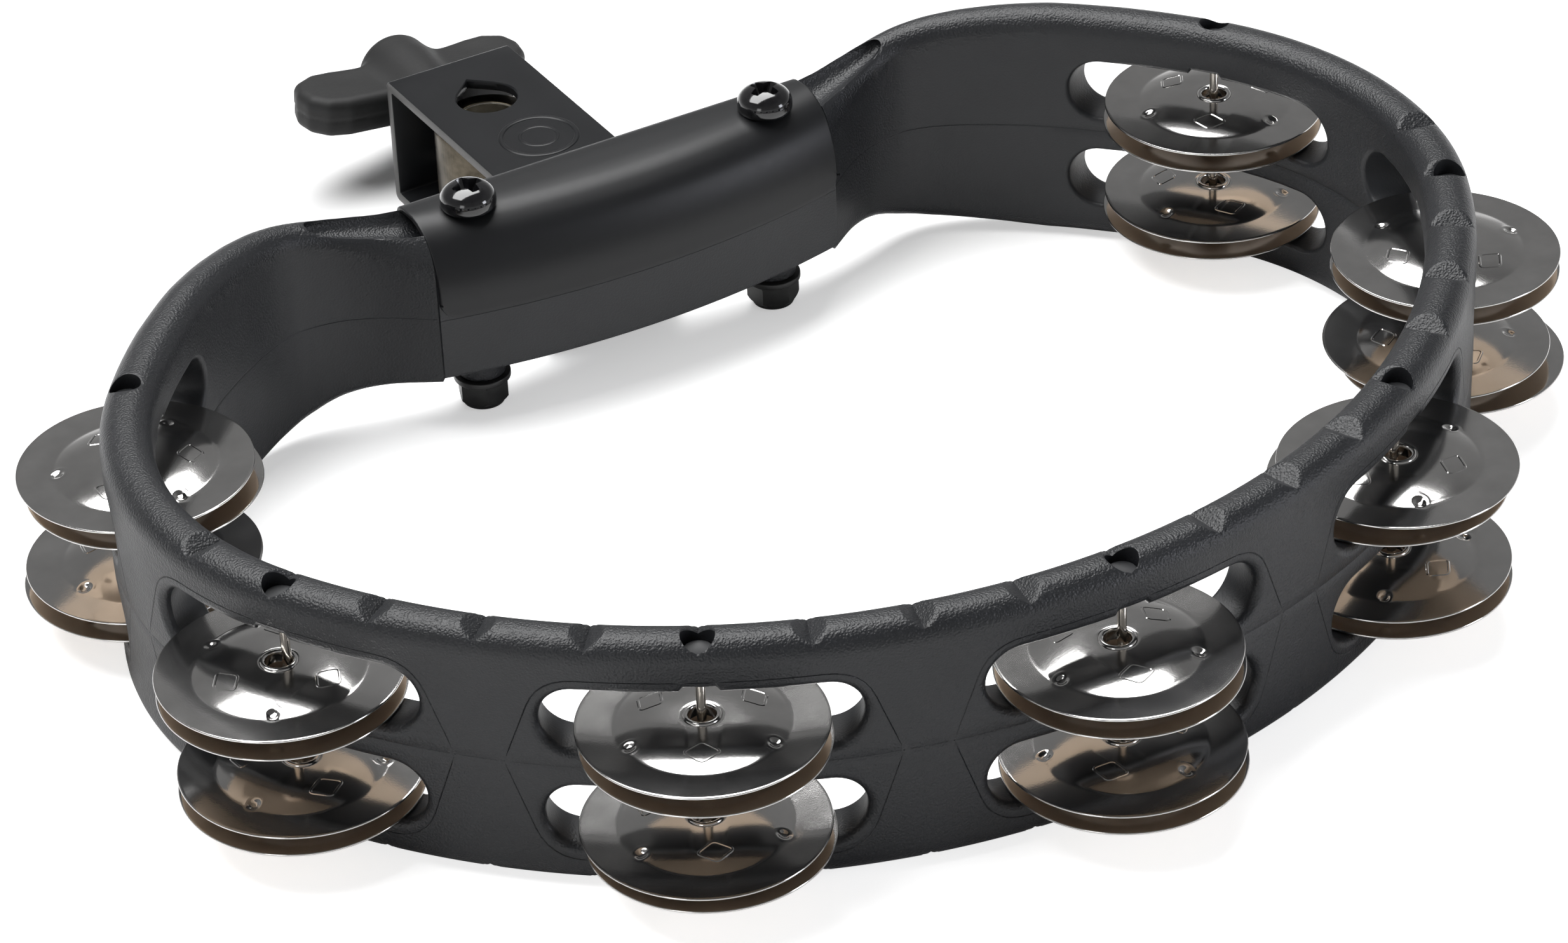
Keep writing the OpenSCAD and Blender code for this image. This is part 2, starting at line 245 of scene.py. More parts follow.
def thread(root, crest, start, turns, pitch, rises):
    """Thread profile; rises are the heights of crest start, crest end and next root."""
    out = []
    for k in range(turns):
        z = start + k * pitch
        out += [(root, z), (crest, z + rises[0]), (crest, z + rises[1]), (root, z + rises[2])]
    return out


# ------------------------------------------------------------------ shader helpers
class Nodes:
    """The cleared node tree of a material or world, with short ways to fill it."""

    def __init__(self, owner):
        owner.use_nodes = True
        self.tree = owner.node_tree
        self.tree.nodes.clear()

    def fill(self, node, inputs):
        """Links the sockets and sets the plain values among inputs."""
        for key, value in inputs.items():
            if isinstance(value, bpy.types.NodeSocket):
                self.tree.links.new(value, node.inputs[key])
            else:
                node.inputs[key].default_value = value

    def add(self, kind, inputs=None, **settings):
        node = self.tree.nodes.new("ShaderNode" + kind)
        for key, value in settings.items():
            setattr(node, key, value)
        self.fill(node, inputs or {})
        return node

    def coords(self, scale=(1, 1, 1)):
        source = self.add("TexCoord").outputs["Object"]
        return self.add("Mapping", {"Scale": scale, 0: source}).outputs[0]

    def noise(self, vector, scale, detail, rough):
        return self.add("TexNoise", {"Scale": scale, "Detail": detail, "Roughness": rough,
                                     "Vector": vector}).outputs["Fac"]

    def ramp(self, factor, stops):
        """Colour ramp; stops are (position, grey or colour)."""
        node = self.add("ValToRGB")
        elements = node.color_ramp.elements
        while len(elements) < len(stops):
            elements.new(0.5)
        for i, (position, value) in enumerate(stops):
            elements[i].position = position
            grey = isinstance(value, (int, float))
            elements[i].color = (value, value, value, 1) if grey else (*value, 1)
        self.fill(node, {0: factor})
        return node.outputs[0]

    def math(self, operation, a, b):
        return self.add("Math", {0: a, 1: b}, operation=operation).outputs[0]

    def vary(self, base, factor, amount):
        """base + factor * amount."""
        return self.math("ADD", base, self.math("MULTIPLY", factor, amount))


class Surface(Nodes):
    """A material with one Principled shader."""

    def __init__(self, name):
        self.material = bpy.data.materials.new(name)
        super().__init__(self.material)
        output = self.add("OutputMaterial")
        self.shader = self.add("BsdfPrincipled")
        self.fill(output, {0: self.shader.outputs[0]})

    def set(self, inputs):
        self.fill(self.shader, inputs)

    def colour(self, factor, *stops):
        self.set({"Base Color": self.ramp(factor, stops)})

    def bump(self, height, distance, strength, after=None):
        inputs = {"Distance": distance, "Strength": strength, "Height": height}
        if after is not None:
            inputs["Normal"] = after
        normal = self.add("Bump", inputs).outputs[0]
        self.set({"Normal": normal})
        return normal


# ------------------------------------------------------------------ materials
def grained_abs():
    s = Surface("hoop_abs_grained")
    place = s.coords()
    pebble = s.noise(place, scale=2600, detail=2.0, rough=0.55)
    cells = s.add("TexVoronoi", {"Scale": 2300, "Vector": place}, feature="SMOOTH_F1")
    fine = s.noise(place, scale=4200, detail=2.0, rough=0.6)
    height = s.math("MULTIPLY", pebble, 0.6)
    height = s.vary(height, cells.outputs["Distance"], 0.7)
    height = s.vary(height, fine, 0.18)
    # grain is 1 on the rims and lower on the inner walls
    grain = s.add("Attribute", attribute_name="grain").outputs["Fac"]
    height = s.math("MULTIPLY", height, grain)
    s.bump(height, distance=0.00021, strength=0.85)
    cloud = s.noise(place, scale=45, detail=3.0, rough=0.5)
    s.colour(cloud, (0.3, (0.0108, 0.0116, 0.0134)), (0.7, (0.0142, 0.0152, 0.0174)))
    # roughness runs from 0.42 on plain walls to 0.32 on full grain
    roughness = s.add("Mix", {0: grain, 2: 0.42, 3: 0.32}, data_type="FLOAT").outputs[0]
    mottle = s.noise(place, scale=260, detail=3, rough=0.6)
    s.set({"Roughness": s.vary(roughness, mottle, 0.10), "Specular IOR Level": 0.42})
    return s.material


def powder_coat(name, base, roughness, specular=0.38):
    s = Surface(name)
    place = s.coords()
    speckle = s.noise(place, scale=900, detail=3.0, rough=0.6)
    s.bump(speckle, distance=0.000003, strength=0.5)
    cloud = s.noise(place, scale=60, detail=2.0, rough=0.5)
    s.colour(cloud, (0.3, base), (0.75, tuple(c * 1.25 for c in base)))
    s.set({"Roughness": s.vary(roughness - 0.03, speckle, 0.08),
           "Specular IOR Level": specular, "Coat Roughness": 0.22})
    return s.material


def gloss_plate():
    s = Surface("gloss_black_plate")
    place = s.coords()
    mottle = s.noise(place, scale=700, detail=3.0, rough=0.6)
    s.colour(mottle, (0.3, (0.004, 0.004, 0.0045)), (0.7, (0.008, 0.008, 0.009)))
    s.set({"Roughness": s.vary(0.07, mottle, 0.12)})
    s.bump(s.noise(place, scale=1600, detail=2, rough=0.5), distance=0.00002, strength=0.4)
    s.set({"Coat Weight": 0.6, "Coat Roughness": 0.05})
    return s.material


def black_oxide():
    s = Surface("black_oxide_nut")
    place = s.coords()
    mottle = s.noise(place, scale=500, detail=4.0, rough=0.6)
    s.colour(mottle, (0.3, (0.010, 0.010, 0.010)), (0.75, (0.022, 0.022, 0.021)))
    s.set({"Roughness": s.vary(0.24, mottle, 0.22)})
    s.bump(s.noise(place, scale=1500, detail=3, rough=0.6), distance=0.00004, strength=0.6)
    return s.material


def nickel(name, tint, rough_low, rough_high, metallic=1.0):
    s = Surface(name)
    place = s.coords()
    mottle = s.noise(place, scale=130, detail=4.0, rough=0.6)
    fine = s.noise(place, scale=2400, detail=2.0, rough=0.6)
    s.set({"Metallic": metallic})
    s.colour(mottle, (0.25, tuple(c * 0.93 for c in tint)),
             (0.75, tuple(min(1, c * 1.05) for c in tint)))
    roughness = s.add("MapRange", {"To Min": rough_low, "To Max": rough_high, "Value": mottle})
    s.set({"Roughness": roughness.outputs[0]})
    waves = s.noise(place, scale=60, detail=2.0, rough=0.4)
    wavy = s.bump(waves, distance=0.00018, strength=0.5)
    s.bump(fine, distance=0.000011, strength=0.6, after=wavy)
    return s.material


def zinc(name, dark, light, roughness, brush, depth):
    """brush is the stretch of the scratches along z, depth their bump distance."""
    s = Surface(name)
    mottle = s.noise(s.coords(), scale=240, detail=4.0, rough=0.6)
    s.set({"Metallic": 1.0})
    s.colour(mottle, (0.25, dark), (0.75, light))
    s.set({"Roughness": s.vary(roughness, mottle, 0.2)})
    scratches = s.noise(s.coords((1, 1, brush)), scale=1800, detail=2, rough=0.5)
    s.bump(scratches, distance=depth, strength=0.5)
    return s.material


def wing_rubber():
    s = Surface("wing_rubber")
    place = s.coords()
    speckle = s.noise(place, scale=1100, detail=3.0, rough=0.6)
    cloud = s.noise(place, scale=70, detail=3.0, rough=0.5)
    s.colour(cloud, (0.3, (0.0095, 0.0095, 0.0098)), (0.75, (0.0140, 0.0140, 0.0140)))
    s.set({"Roughness": s.vary(0.52, speckle, 0.14)})
    s.bump(speckle, distance=0.00004, strength=0.6)
    s.set({"Sheen Weight": 0.02, "Specular IOR Level": 0.32})
    return s.material


ABS = grained_abs()
SADDLE_COAT = powder_coat("saddle_powder_coat", base=(0.0050, 0.0053, 0.0062), roughness=0.41)
CLAMP_COAT = powder_coat("clamp_powder_coat", base=(0.0070, 0.0074, 0.0084), roughness=0.32,
                         specular=0.26)
# lighter grey copy of the clamp coat for the channel's cut edges: a painted highlight
EDGE_PAINTED_HIGHLIGHT = powder_coat("clamp_edge_painted_highlight", base=(0.052, 0.051, 0.050), roughness=0.42)
GLOSS = gloss_plate()
OXIDE = black_oxide()
JINGLE_NICKEL = nickel("jingle_nickel", tint=(0.62, 0.61, 0.60), rough_low=0.09, rough_high=0.16)
UNDERSIDE = nickel("jingle_underside", tint=(0.56, 0.44, 0.33), rough_low=0.30,
                   rough_high=0.40, metallic=0.5)
PIN_NICKEL = nickel("pin_nickel", tint=(0.82, 0.77, 0.70), rough_low=0.10, rough_high=0.2)
ZINC = zinc("bright_zinc", dark=(0.58, 0.55, 0.49), light=(0.74, 0.72, 0.66), roughness=0.14,
            brush=0.06, depth=0.00004)
# darkened copy of the zinc for the eye's barrel: painted shade for the barrel inside the channel
EYE_ZINC_PAINTED_SHADE = zinc("eye_zinc_painted_shade", dark=(0.035, 0.030, 0.022), light=(0.13, 0.112, 0.085),
                roughness=0.20, brush=0.03, depth=0.00008)
RUBBER = wing_rubber()

# ------------------------------------------------------------------ the hoop's plan
# The pins' line on the right side: a front arc, a tighter corner arc, then a flatter flank arc.
FRONT_CENTRE, FRONT_R, FRONT_SWEEP = np.array([0, -101.9]), 153.6, rad(61.7)
FRONT_END = -math.pi / 2 + FRONT_SWEEP
CORNER_R, CORNER_END = 75.1, rad(35.3)
CORNER_CENTRE = FRONT_CENTRE + (FRONT_R - CORNER_R) * np.array(
    [math.sin(FRONT_SWEEP), -math.cos(FRONT_SWEEP)])
FLANK_R, FLANK_END = 150.0, rad(44)
FLANK_CENTRE = CORNER_CENTRE + (CORNER_R - FLANK_R) * np.array(
    [math.cos(CORNER_END), math.sin(CORNER_END)])
INNER_OFFSET, OUTER_OFFSET = -6.3, 4.2     # walls, measured outwards from the pins' line
HALF_HEIGHT, RIM_R = 27.75, 4.8
SADDLE_HALF = 48.6                         # half length of the saddle along x
HANDLE_CENTRE_Y, HANDLE_R = 125.8, 203.0   # arc of the handle's inner face under the saddle
HANDLE_SINK = 1.25                         # the handle's own face lies this far behind that arc
REAR_Y = -53.8

# Neck between flank and handle: inner x, y, outer x, y
NECK = np.array([
    (104.0, -75.05, 110.8, -67.7), (96.4, -68.6, 102.2, -60.9), (90.4, -64.3, 95.6, -56.8),
    (84.7, -60.7, 88.8, -53.4), (79.2, -58.1, 81.6, -50.9), (73.6, -56.9, 74.0, -49.8),
    (66.5, -57.9, 66.4, -50.5), (60.5, -60.4, 60.5, -51.7), (55.0, -64.0, 55.0, -52.9),
    (SADDLE_HALF, -69.2, SADDLE_HALF, -53.9)])


def handle_y(x, radius=HANDLE_R):
    return HANDLE_CENTRE_Y - math.sqrt(radius ** 2 - x * x)


def half_path():
    """Path position, inner and outer wall points, from the front middle round the right side
    to the middle of the handle; and the position where the handle starts."""
    positions, inner, outer = [], [], []

    def arc(centre, radius, start, end, s):
        for angle in np.linspace(start, end, int(abs(end - start) * radius / 0.5) + 2):
            outward = np.array([math.cos(angle), math.sin(angle)])
            positions.append(s + (angle - start) * radius)
            inner.append(centre + (radius + INNER_OFFSET) * outward)
            outer.append(centre + (radius + OUTER_OFFSET) * outward)
        return s + (end - start) * radius

    s = arc(FRONT_CENTRE, FRONT_R, -math.pi / 2, FRONT_END, 0.0)
    s = arc(CORNER_CENTRE, CORNER_R, FRONT_END, CORNER_END, s)
    s = arc(FLANK_CENTRE, FLANK_R, CORNER_END, FLANK_END, s)
    neck_inner = spline([inner[-1], *NECK[:, :2]], 12)[1:]
    neck_outer = spline([outer[-1], *NECK[:, 2:]], 12)[1:]
    last = (inner[-1] + outer[-1]) / 2
    for a, b in zip(neck_inner, neck_outer):
        middle = (a + b) / 2
        s += float(np.linalg.norm(middle - last))
        last = middle
        positions.append(s)
        inner.append(a)
        outer.append(b)
    for x in np.linspace(SADDLE_HALF, 0, 80):
        positions.append(s + (SADDLE_HALF - x) + 1e-6)
        inner.append(np.array([x, handle_y(x, HANDLE_R - HANDLE_SINK)]))
        outer.append(np.array([x, REAR_Y]))
    return np.array(positions), np.array(inner), np.array(outer), s


PATH_S, PATH_INNER, PATH_OUTER, HANDLE_S = half_path()
HALF_LENGTH = PATH_S[-1]
FRONT_S = FRONT_R * FRONT_SWEEP                           # end of the front arc
CORNER_S = FRONT_S + CORNER_R * (CORNER_END - FRONT_END)  # end of the corner arc
PANEL_END = round(CORNER_S + 37.0, 3)                     # the slotted walls end here

PIN_S = [-CORNER_S, -FRONT_S, -FRONT_S / 2, 0.0, FRONT_S / 2, FRONT_S, CORNER_S]
NOTCH_PITCH = FRONT_S / 8
CORNER_NOTCH = FRONT_S + (CORNER_S - FRONT_S) / 4
NOTCHES = [k * NOTCH_PITCH for k in range(-8, 9)] + [-CORNER_NOTCH, CORNER_NOTCH]
NOTCH_HALF, NOTCH_DEPTH = 3.3, 2.05

# Section sizes against the inner wall's x, held beyond both ends:
# x, top height, bottom depth, then corner radii top inner, top outer, bottom inner, bottom outer
SECTION_SIZES = np.array([
    (48.5, 19.2, 14.4, 11.3, 1.0, 0.6, 0.6),
    (48.7, 20.9, 16.0, 10.5, 2.2, 1.3, 1.6),
    (52, 21.0, 16.5, 10.0, 2.3, 1.5, 1.8),
    (57, 21.15, 17.2, 9.2, 2.6, 1.9, 2.2),
    (62, 21.45, 18.3, 8.4, 3.0, 2.5, 2.8),
    (67, 22.1, 19.8, 7.4, 3.4, 3.2, 3.3),
    (73, 23.3, 22.2, 6.4, 3.8, 3.8, 3.8),
    (80, 24.9, 24.3, 5.6, 4.0, 4.2, 4.2),
    (86, 26.0, 25.5, 5.2, 4.3, 4.5, 4.5),
    (92, 26.8, 26.5, 5.0, 4.5, 4.7, 4.7),
    (97, 27.35, 27.3, 4.85, 4.7, RIM_R, RIM_R),
    (101.3, HALF_HEIGHT, HALF_HEIGHT, RIM_R, RIM_R, RIM_R, RIM_R)])
HANDLE_X, NECK_X = SECTION_SIZES[:2, 0]    # the step down from neck to handle

WALL_Z = HALF_HEIGHT - RIM_R               # the walls' straight part ends here
SEAM_DEPTH, SEAM_EDGE = 0.07, 0.14         # groove at mid height, and its half width
WALL_ROWS = np.array(sorted(set(
    [-WALL_Z, WALL_Z, 0.0, -SEAM_EDGE, SEAM_EDGE, -0.5, 0.5]
    + list(np.round(np.linspace(-WALL_Z, WALL_Z, 21), 3)))))
RIM_STEPS = 9
INNER, OUTER = 0, 1


def wall(s, side):
    """Wall points at path positions s; negative positions are on the left."""
    s = np.asarray(s, float)
    path = PATH_OUTER if side == OUTER else PATH_INNER
    x = np.interp(np.abs(s), PATH_S, path[:, 0]) * np.sign(np.where(s == 0, 1, s))
    y = np.interp(np.abs(s), PATH_S, path[:, 1])
    return np.stack([x, y], -1)


def station(s):
    """Pin place and the hoop's tangent at path position s."""
    distance = abs(s)
    if distance <= FRONT_S + 1e-6:
        angle = -math.pi / 2 + distance / FRONT_R
        centre, radius = FRONT_CENTRE, FRONT_R
    else:
        angle = FRONT_END + (distance - FRONT_S) / CORNER_R
        centre, radius = CORNER_CENTRE, CORNER_R
    outward = np.array([math.cos(angle), math.sin(angle)])
    pin = centre + radius * outward
    tangent = np.array([-outward[1], outward[0]])
    if s < 0:
        pin, tangent = pin * [-1, 1], tangent * [1, -1]
    return pin, tangent


def section_sizes(s):
    """Top, bottom and the four corner radii, as in the table."""
    distance = abs(float(s))
    if distance < CORNER_S:
        return [HALF_HEIGHT] * 2 + [RIM_R] * 4
    x = float(np.interp(distance, PATH_S, PATH_INNER[:, 0]))
    x = max(x, NECK_X) if distance <= HANDLE_S else min(x, HANDLE_X)
    sizes = [float(np.interp(x, SECTION_SIZES[:, 0], column)) for column in SECTION_SIZES.T[1:]]
    room = float(np.linalg.norm(wall(distance, OUTER) - wall(distance, INNER))) - 0.1
    for i, j in ((2, 3), (4, 5)):
        if sizes[i] + sizes[j] > room:
            shrink = room / (sizes[i] + sizes[j])
            sizes[i], sizes[j] = sizes[i] * shrink, sizes[j] * shrink
    return sizes


def notch_depth(s):
    gap = min(abs(notch - s) for notch in NOTCHES)
    return NOTCH_DEPTH * (1 - gap / NOTCH_HALF) if gap < NOTCH_HALF else 0.0


def wall_rows(foot, inward, top, bottom):
    z = np.where(WALL_ROWS > 0, WALL_ROWS * top / WALL_Z, WALL_ROWS * bottom / WALL_Z)
    depth = np.where(np.abs(WALL_ROWS) < 0.05, SEAM_DEPTH, 0.0)
    return np.stack([foot[0] + inward[0] * depth, foot[1] + inward[1] * depth, z], -1)


def section(s):
    """Rim points from inner to outer wall, and wall points from bottom to top, at s."""
    inner, outer = wall(s, INNER), wall(s, OUTER)
    across = outer - inner
    width = float(np.linalg.norm(across))
    across = across / width
    top, bottom, top_in, top_out, bottom_in, bottom_out = section_sizes(s)
    out = {}
    for key, sign, height, r_in, r_out in (("top", 1, top, top_in, top_out),
                                           ("bottom", -1, bottom, bottom_in, bottom_out)):
        angles = [math.pi / 2 * k / RIM_STEPS for k in range(RIM_STEPS + 1)]
        rim = [(r_in - r_in * math.cos(a), height - r_in + r_in * math.sin(a)) for a in angles]
        rim.append((width - r_out, height))
        rim += [(width - r_out + r_out * math.sin(a), height - r_out + r_out * math.cos(a))
                for a in angles[1:]]
        floor_z = height - notch_depth(s)
        out[key] = np.array([[*(inner + across * w), sign * min(z, floor_z)] for w, z in rim])
    out["inner"] = wall_rows(inner, across, top - top_in, bottom - bottom_in)
    out["outer"] = wall_rows(outer, -across, top - top_out, bottom - bottom_out)
    return out


def rim_positions():
    """Even steps along the slotted part, finer at each notch."""
    out = [s for s in np.arange(-PANEL_END, PANEL_END + 0.01, 1.6)
           if min(abs(s - notch) for notch in NOTCHES) > 3.9]
    for notch in NOTCHES:
        for d in (0, 0.12, 0.35, 0.7, 1.2, 1.7, 2.2, 2.7, 3.1, NOTCH_HALF, 3.6):
            out += [notch - d, notch + d]
    out += [-PANEL_END, PANEL_END]
    out = np.array(sorted(set(np.round(out, 4))))
    return out[(out >= -PANEL_END - 1e-6) & (out <= PANEL_END + 1e-6)]


def back_positions():
    """From the right end of the slotted part through the handle to its left end. Beyond the
    handle's middle the left positions are negative."""
    right = list(np.arange(PANEL_END, HANDLE_S - 0.6, 1.3))
    right += [HANDLE_S - 0.35, HANDLE_S, HANDLE_S + 1e-3]
    right += list(np.linspace(HANDLE_S + 0.6, HALF_LENGTH, 48))
    left = [2 * HALF_LENGTH - s for s in reversed(right[:-1])]
    return right + [s - 2 * HALF_LENGTH for s in left]


RIM_S = rim_positions()


# ------------------------------------------------------------------ slotted walls
# Each wall is drawn flat as (path position, z), triangulated, then bent onto the hoop.
SLOT_Z = {"low": -11.9, "top": 10.1}
SLOT_HALF, SLOT_R = 30.5, 6.9
# Lip radius, and the rings drawn round the slot at these distances from its edge
LIPS = {INNER: (1.2, [0, 0.12, 0.35, 0.7, 1.0, 1.2]),
        OUTER: (1.9, [0, 0.16, 0.4, 0.8, 1.25, 1.6, 1.9])}
# Fine hexagonal groove on the outer wall, round each pair of slots
HEX_TOP, HEX_BOTTOM, HEX_APEX, HEX_CORNER, HEX_BEND = 19.75, -21.65, 37.3, 30.0, 7.0
HEX_DEPTH, HEX_EDGE = 0.14, 0.13


class Shell:
    """The hoop's vertices, faces and grain as they are collected."""

    def __init__(self):
        self.verts, self.faces, self.grain = [], [], []

    def add(self, points, grain):
        start = len(self.verts)
        self.verts.extend(map(tuple, points))
        self.grain.extend([grain] * len(points) if np.isscalar(grain) else grain)
        return list(range(start, len(self.verts)))

    def strip(self, columns, flip):
        for a, b in zip(columns[:-1], columns[1:]):
            for k in range(len(a) - 1):
                quad = (a[k], b[k], b[k + 1], a[k + 1])
                self.faces.append(quad[::-1] if flip else quad)


class Sheet:
    """One wall's flat drawing: points, their depth below the wall, and edges."""

    def __init__(self):
        self.points, self.depths, self.edges = [], [], []

    def add(self, s, z, depth=0.0):
        self.points.append(Vector((float(s), float(z))))
        self.depths.append(depth)
        return len(self.points) - 1

    def join(self, ids, closed=True):
        self.edges += zip(ids, ids[1:] + (ids[:1] if closed else []))


def draw_border(sheet):
    """The sheet's edge and the seam at mid height."""
    border = [(s, -WALL_Z) for s in RIM_S] + [(PANEL_END, z) for z in WALL_ROWS[1:-1]]
    border += [(s, WALL_Z) for s in RIM_S[::-1]] + [(-PANEL_END, z) for z in WALL_ROWS[1:-1][::-1]]
    ids = [sheet.add(s, z, SEAM_DEPTH if abs(z) < 0.05 else 0.0) for s, z in border]
    sheet.join(ids)

    def border_point(s, z):
        return next(i for i in ids if abs(sheet.points[i].x - s) < 1e-3
                    and abs(sheet.points[i].y - z) < 1e-3)

    for z in (-SEAM_EDGE, 0.0, SEAM_EDGE):
        row = [sheet.add(s, z, SEAM_DEPTH if z == 0 else 0.0)
               for s in np.arange(-PANEL_END + 1.5, PANEL_END - 1, 2.2)]
        sheet.join([border_point(-PANEL_END, z)] + row + [border_point(PANEL_END, z)],
                   closed=False)


def slot_outline(radius):
    """Slot of the given end radius, with a low step up in the middle of its upper edge."""
    reach = SLOT_HALF - SLOT_R
    turns = [math.pi * k / 24 for k in range(25)]
    out = [(reach + radius * math.cos(a - math.pi / 2), radius * math.sin(a - math.pi / 2))
           for a in turns]
    right = [reach * f for f in (0.8, 0.6, 0.4, 0.25)] + [3.9, 3.55, 3.15, 1.2]
    for y in right + [0.0] + [-y for y in (3.9, 3.55, 3.15, 1.2)][::-1] + [
            -reach * f for f in (0.25, 0.4, 0.6, 0.8)]:
        step = 1.0 if abs(y) < 3.2 else (0.5 if abs(y) < 3.6 else 0.0)
        out.append((y, radius + step))
    out += [(-reach + radius * math.cos(a + math.pi / 2), radius * math.sin(a + math.pi / 2))
            for a in turns]
    return out + [(y, -radius) for y in np.linspace(-reach, reach, 12)[1:-1]]


def hexagon(spread):
    """The hexagon's outline, grown by spread, its four flat corners bent round."""
    apex_y = HEX_APEX + spread
    top, bottom = HEX_TOP + spread, HEX_BOTTOM - spread

    def corner(side, z, reverse):
        tip = np.array([side * (HEX_CORNER + spread), z])
        to_apex = np.array([side * apex_y, 0.0]) - tip
        start = tip + to_apex / np.linalg.norm(to_apex) * HEX_BEND
        curve = bend(start, tip, tip - [side * HEX_BEND, 0], 7)
        return [tuple(p) for p in (curve[::-1] if reverse else curve)]

    corners = [(-apex_y, 0)] + corner(-1, top, False) + corner(1, top, True)
    corners += [(apex_y, 0)] + corner(1, bottom, False) + corner(-1, bottom, True)
    out = []
    for a, b in zip(corners, corners[1:] + corners[:1]):
        count = max(2, int(math.dist(a, b) / 3.0))
        for k in range(count):
            f = k / count
            out.append((a[0] + (b[0] - a[0]) * f, a[1] + (b[1] - a[1]) * f))
    return out


def position_finder(pin_s, side):
    """Function from distance along the tangent at a pin to path position on the wall."""
    grid = np.linspace(-HALF_LENGTH, HALF_LENGTH, 6001)
    grid = grid[np.abs(grid - pin_s) < 60]
    pin, tangent = station(pin_s)
    along = (wall(grid, side) - pin) @ tangent
    order = np.argsort(along)
    return lambda y: np.interp(y, along[order], grid[order])


def draw_slots(sheet, side):
    """Slots with their lips, and the hexagons; returns each slot's edge."""
    slots = []
    lip, offsets = LIPS[side]
    for pin_s in PIN_S:
        to_s = position_finder(pin_s, side)
        for slot_z in SLOT_Z.values():
            for offset in offsets:
                depth = lip - math.sqrt(lip ** 2 - (lip - offset) ** 2)
                ids = [sheet.add(to_s(y), slot_z + z, depth)
                       for y, z in slot_outline(SLOT_R + offset)]
                sheet.join(ids)
                if offset == 0:
                    slots.append(ids)
        if side == OUTER:
            for spread in (-HEX_EDGE, 0.0, HEX_EDGE):
                depth = HEX_DEPTH if spread == 0 else 0.0
                sheet.join([sheet.add(to_s(y), z, depth) for y, z in hexagon(spread)])
    return slots


def draw_fill(sheet):
    """An even grid of points, kept clear of every edge."""
    points = np.array([(p.x, p.y) for p in sheet.points])
    start = points[[edge[0] for edge in sheet.edges]]
    span = points[[edge[1] for edge in sheet.edges]] - start
    span_sq = np.maximum((span ** 2).sum(-1), 1e-12)
    rows = [-20.5, -17, -14, -11, -8, -5, -2.4, 2.4, 5, 8, 11, 14, 17, 20.5]
    grid_s, grid_z = np.meshgrid(np.arange(-PANEL_END + 2, PANEL_END - 1, 2.3), np.array(rows))
    grid = np.stack([grid_s.ravel(), grid_z.ravel()], 1)
    for first in range(0, len(grid), 200):
        some = grid[first:first + 200]
        from_start = some[:, None, :] - start[None]
        t = np.clip((from_start * span[None]).sum(-1) / span_sq[None], 0, 1)
        gaps = np.sqrt(((from_start - t[..., None] * span[None]) ** 2).sum(-1)).min(1)
        for (s, z), gap in zip(some, gaps):
            if gap > 0.95:
                sheet.add(s, z)


def inside(points, outline):
    """Which points lie inside a closed outline."""
    x, y = points.T
    odd = np.zeros(len(points), bool)
    for (x0, y0), (x1, y1) in zip(outline, np.roll(outline, 1, axis=0)):
        if y0 != y1:
            crosses = (y0 > y) != (y1 > y)
            odd ^= crosses & (x < (x1 - x0) * (y - y0) / (y1 - y0) + x0)
    return odd


def add_panel(shell, side):
    """Adds one slotted wall to the shell and returns the slots' edges as vertex numbers."""
    sheet = Sheet()
    draw_border(sheet)
    slots = draw_slots(sheet, side)
    draw_fill(sheet)
    flat, _, triangles, sources, _, _ = delaunay_2d_cdt(
        sheet.points, sheet.edges, [], 0, 1e-5)
    flat = np.array([(v.x, v.y) for v in flat])
    centres = flat[np.array([list(t) for t in triangles])].mean(axis=1)
    solid = (np.abs(centres[:, 0]) < PANEL_END) & (np.abs(centres[:, 1]) < WALL_Z)
    for ids in slots:
        outline = np.array([(sheet.points[i].x, sheet.points[i].y) for i in ids])
        solid &= ~inside(centres, outline)
    depth = np.array([max([sheet.depths[i] for i in ids], default=0.0) for ids in sources])

    inner, outer = wall(flat[:, 0], INNER), wall(flat[:, 0], OUTER)
    across = outer - inner
    across /= np.linalg.norm(across, axis=1)[:, None]
    if side == OUTER:
        plan = outer + across * -depth[:, None]
    else:
        plan = inner + across * depth[:, None]
    base_grain = 0.72 if side == OUTER else 0.38
    near_rim = np.clip((np.abs(flat[:, 1]) - 17) / 7, 0, 1)
    grain = np.clip(base_grain + near_rim * 0.25 - depth * 0.2, 0.1, 1)
    ids = shell.add(np.column_stack([plan, flat[:, 1]]), grain)
    for triangle, keep in zip(triangles, solid):
        if keep:
            face = tuple(ids[k] for k in triangle)
            shell.faces.append(face[::-1] if side == OUTER else face)
    vertex_of = {i: k for k, source in enumerate(sources) for i in source}
    return [[ids[vertex_of[i]] for i in slot] for slot in slots]


def hoop_shell():
    shell = Shell()
    top, bottom = [], []
    for s in RIM_S:
        rims = section(s)
        grain = np.ones(len(rims["top"]))
        grain[:4] = [0.45, 0.6, 0.8, 0.95]
        top.append(shell.add(rims["top"], grain))
        bottom.append(shell.add(rims["bottom"], grain))
    shell.strip(top, False)
    shell.strip(bottom, True)
    # neck and handle: part, grain, whether its faces turn over
    parts = (("top", 0.95, False), ("bottom", 0.9, True),
             ("inner", 0.42, False), ("outer", 0.85, True))
    columns = {part: [] for part, _, _ in parts}
    for s in back_positions():
        points = section(s)
        for part, grain, _ in parts:
            columns[part].append(shell.add(points[part], grain))
    for part, _, flip in parts:
        shell.strip(columns[part], flip)
    inner_slots = add_panel(shell, INNER)
    outer_slots = add_panel(shell, OUTER)
    for a, b in zip(inner_slots, outer_slots):
        shell.faces += ring_quads(a, b)
    return shell


PINS = [station(s)[0] for s in PIN_S]
SCREW_X, SCREW_Y = 36.2, -62.2
BOSS_BOTTOM = -20.4


def circle(radius, z, count):
    angles = [2 * math.pi * k / count for k in range(count)]
    return [(radius * math.cos(a), radius * math.sin(a), z) for a in angles]


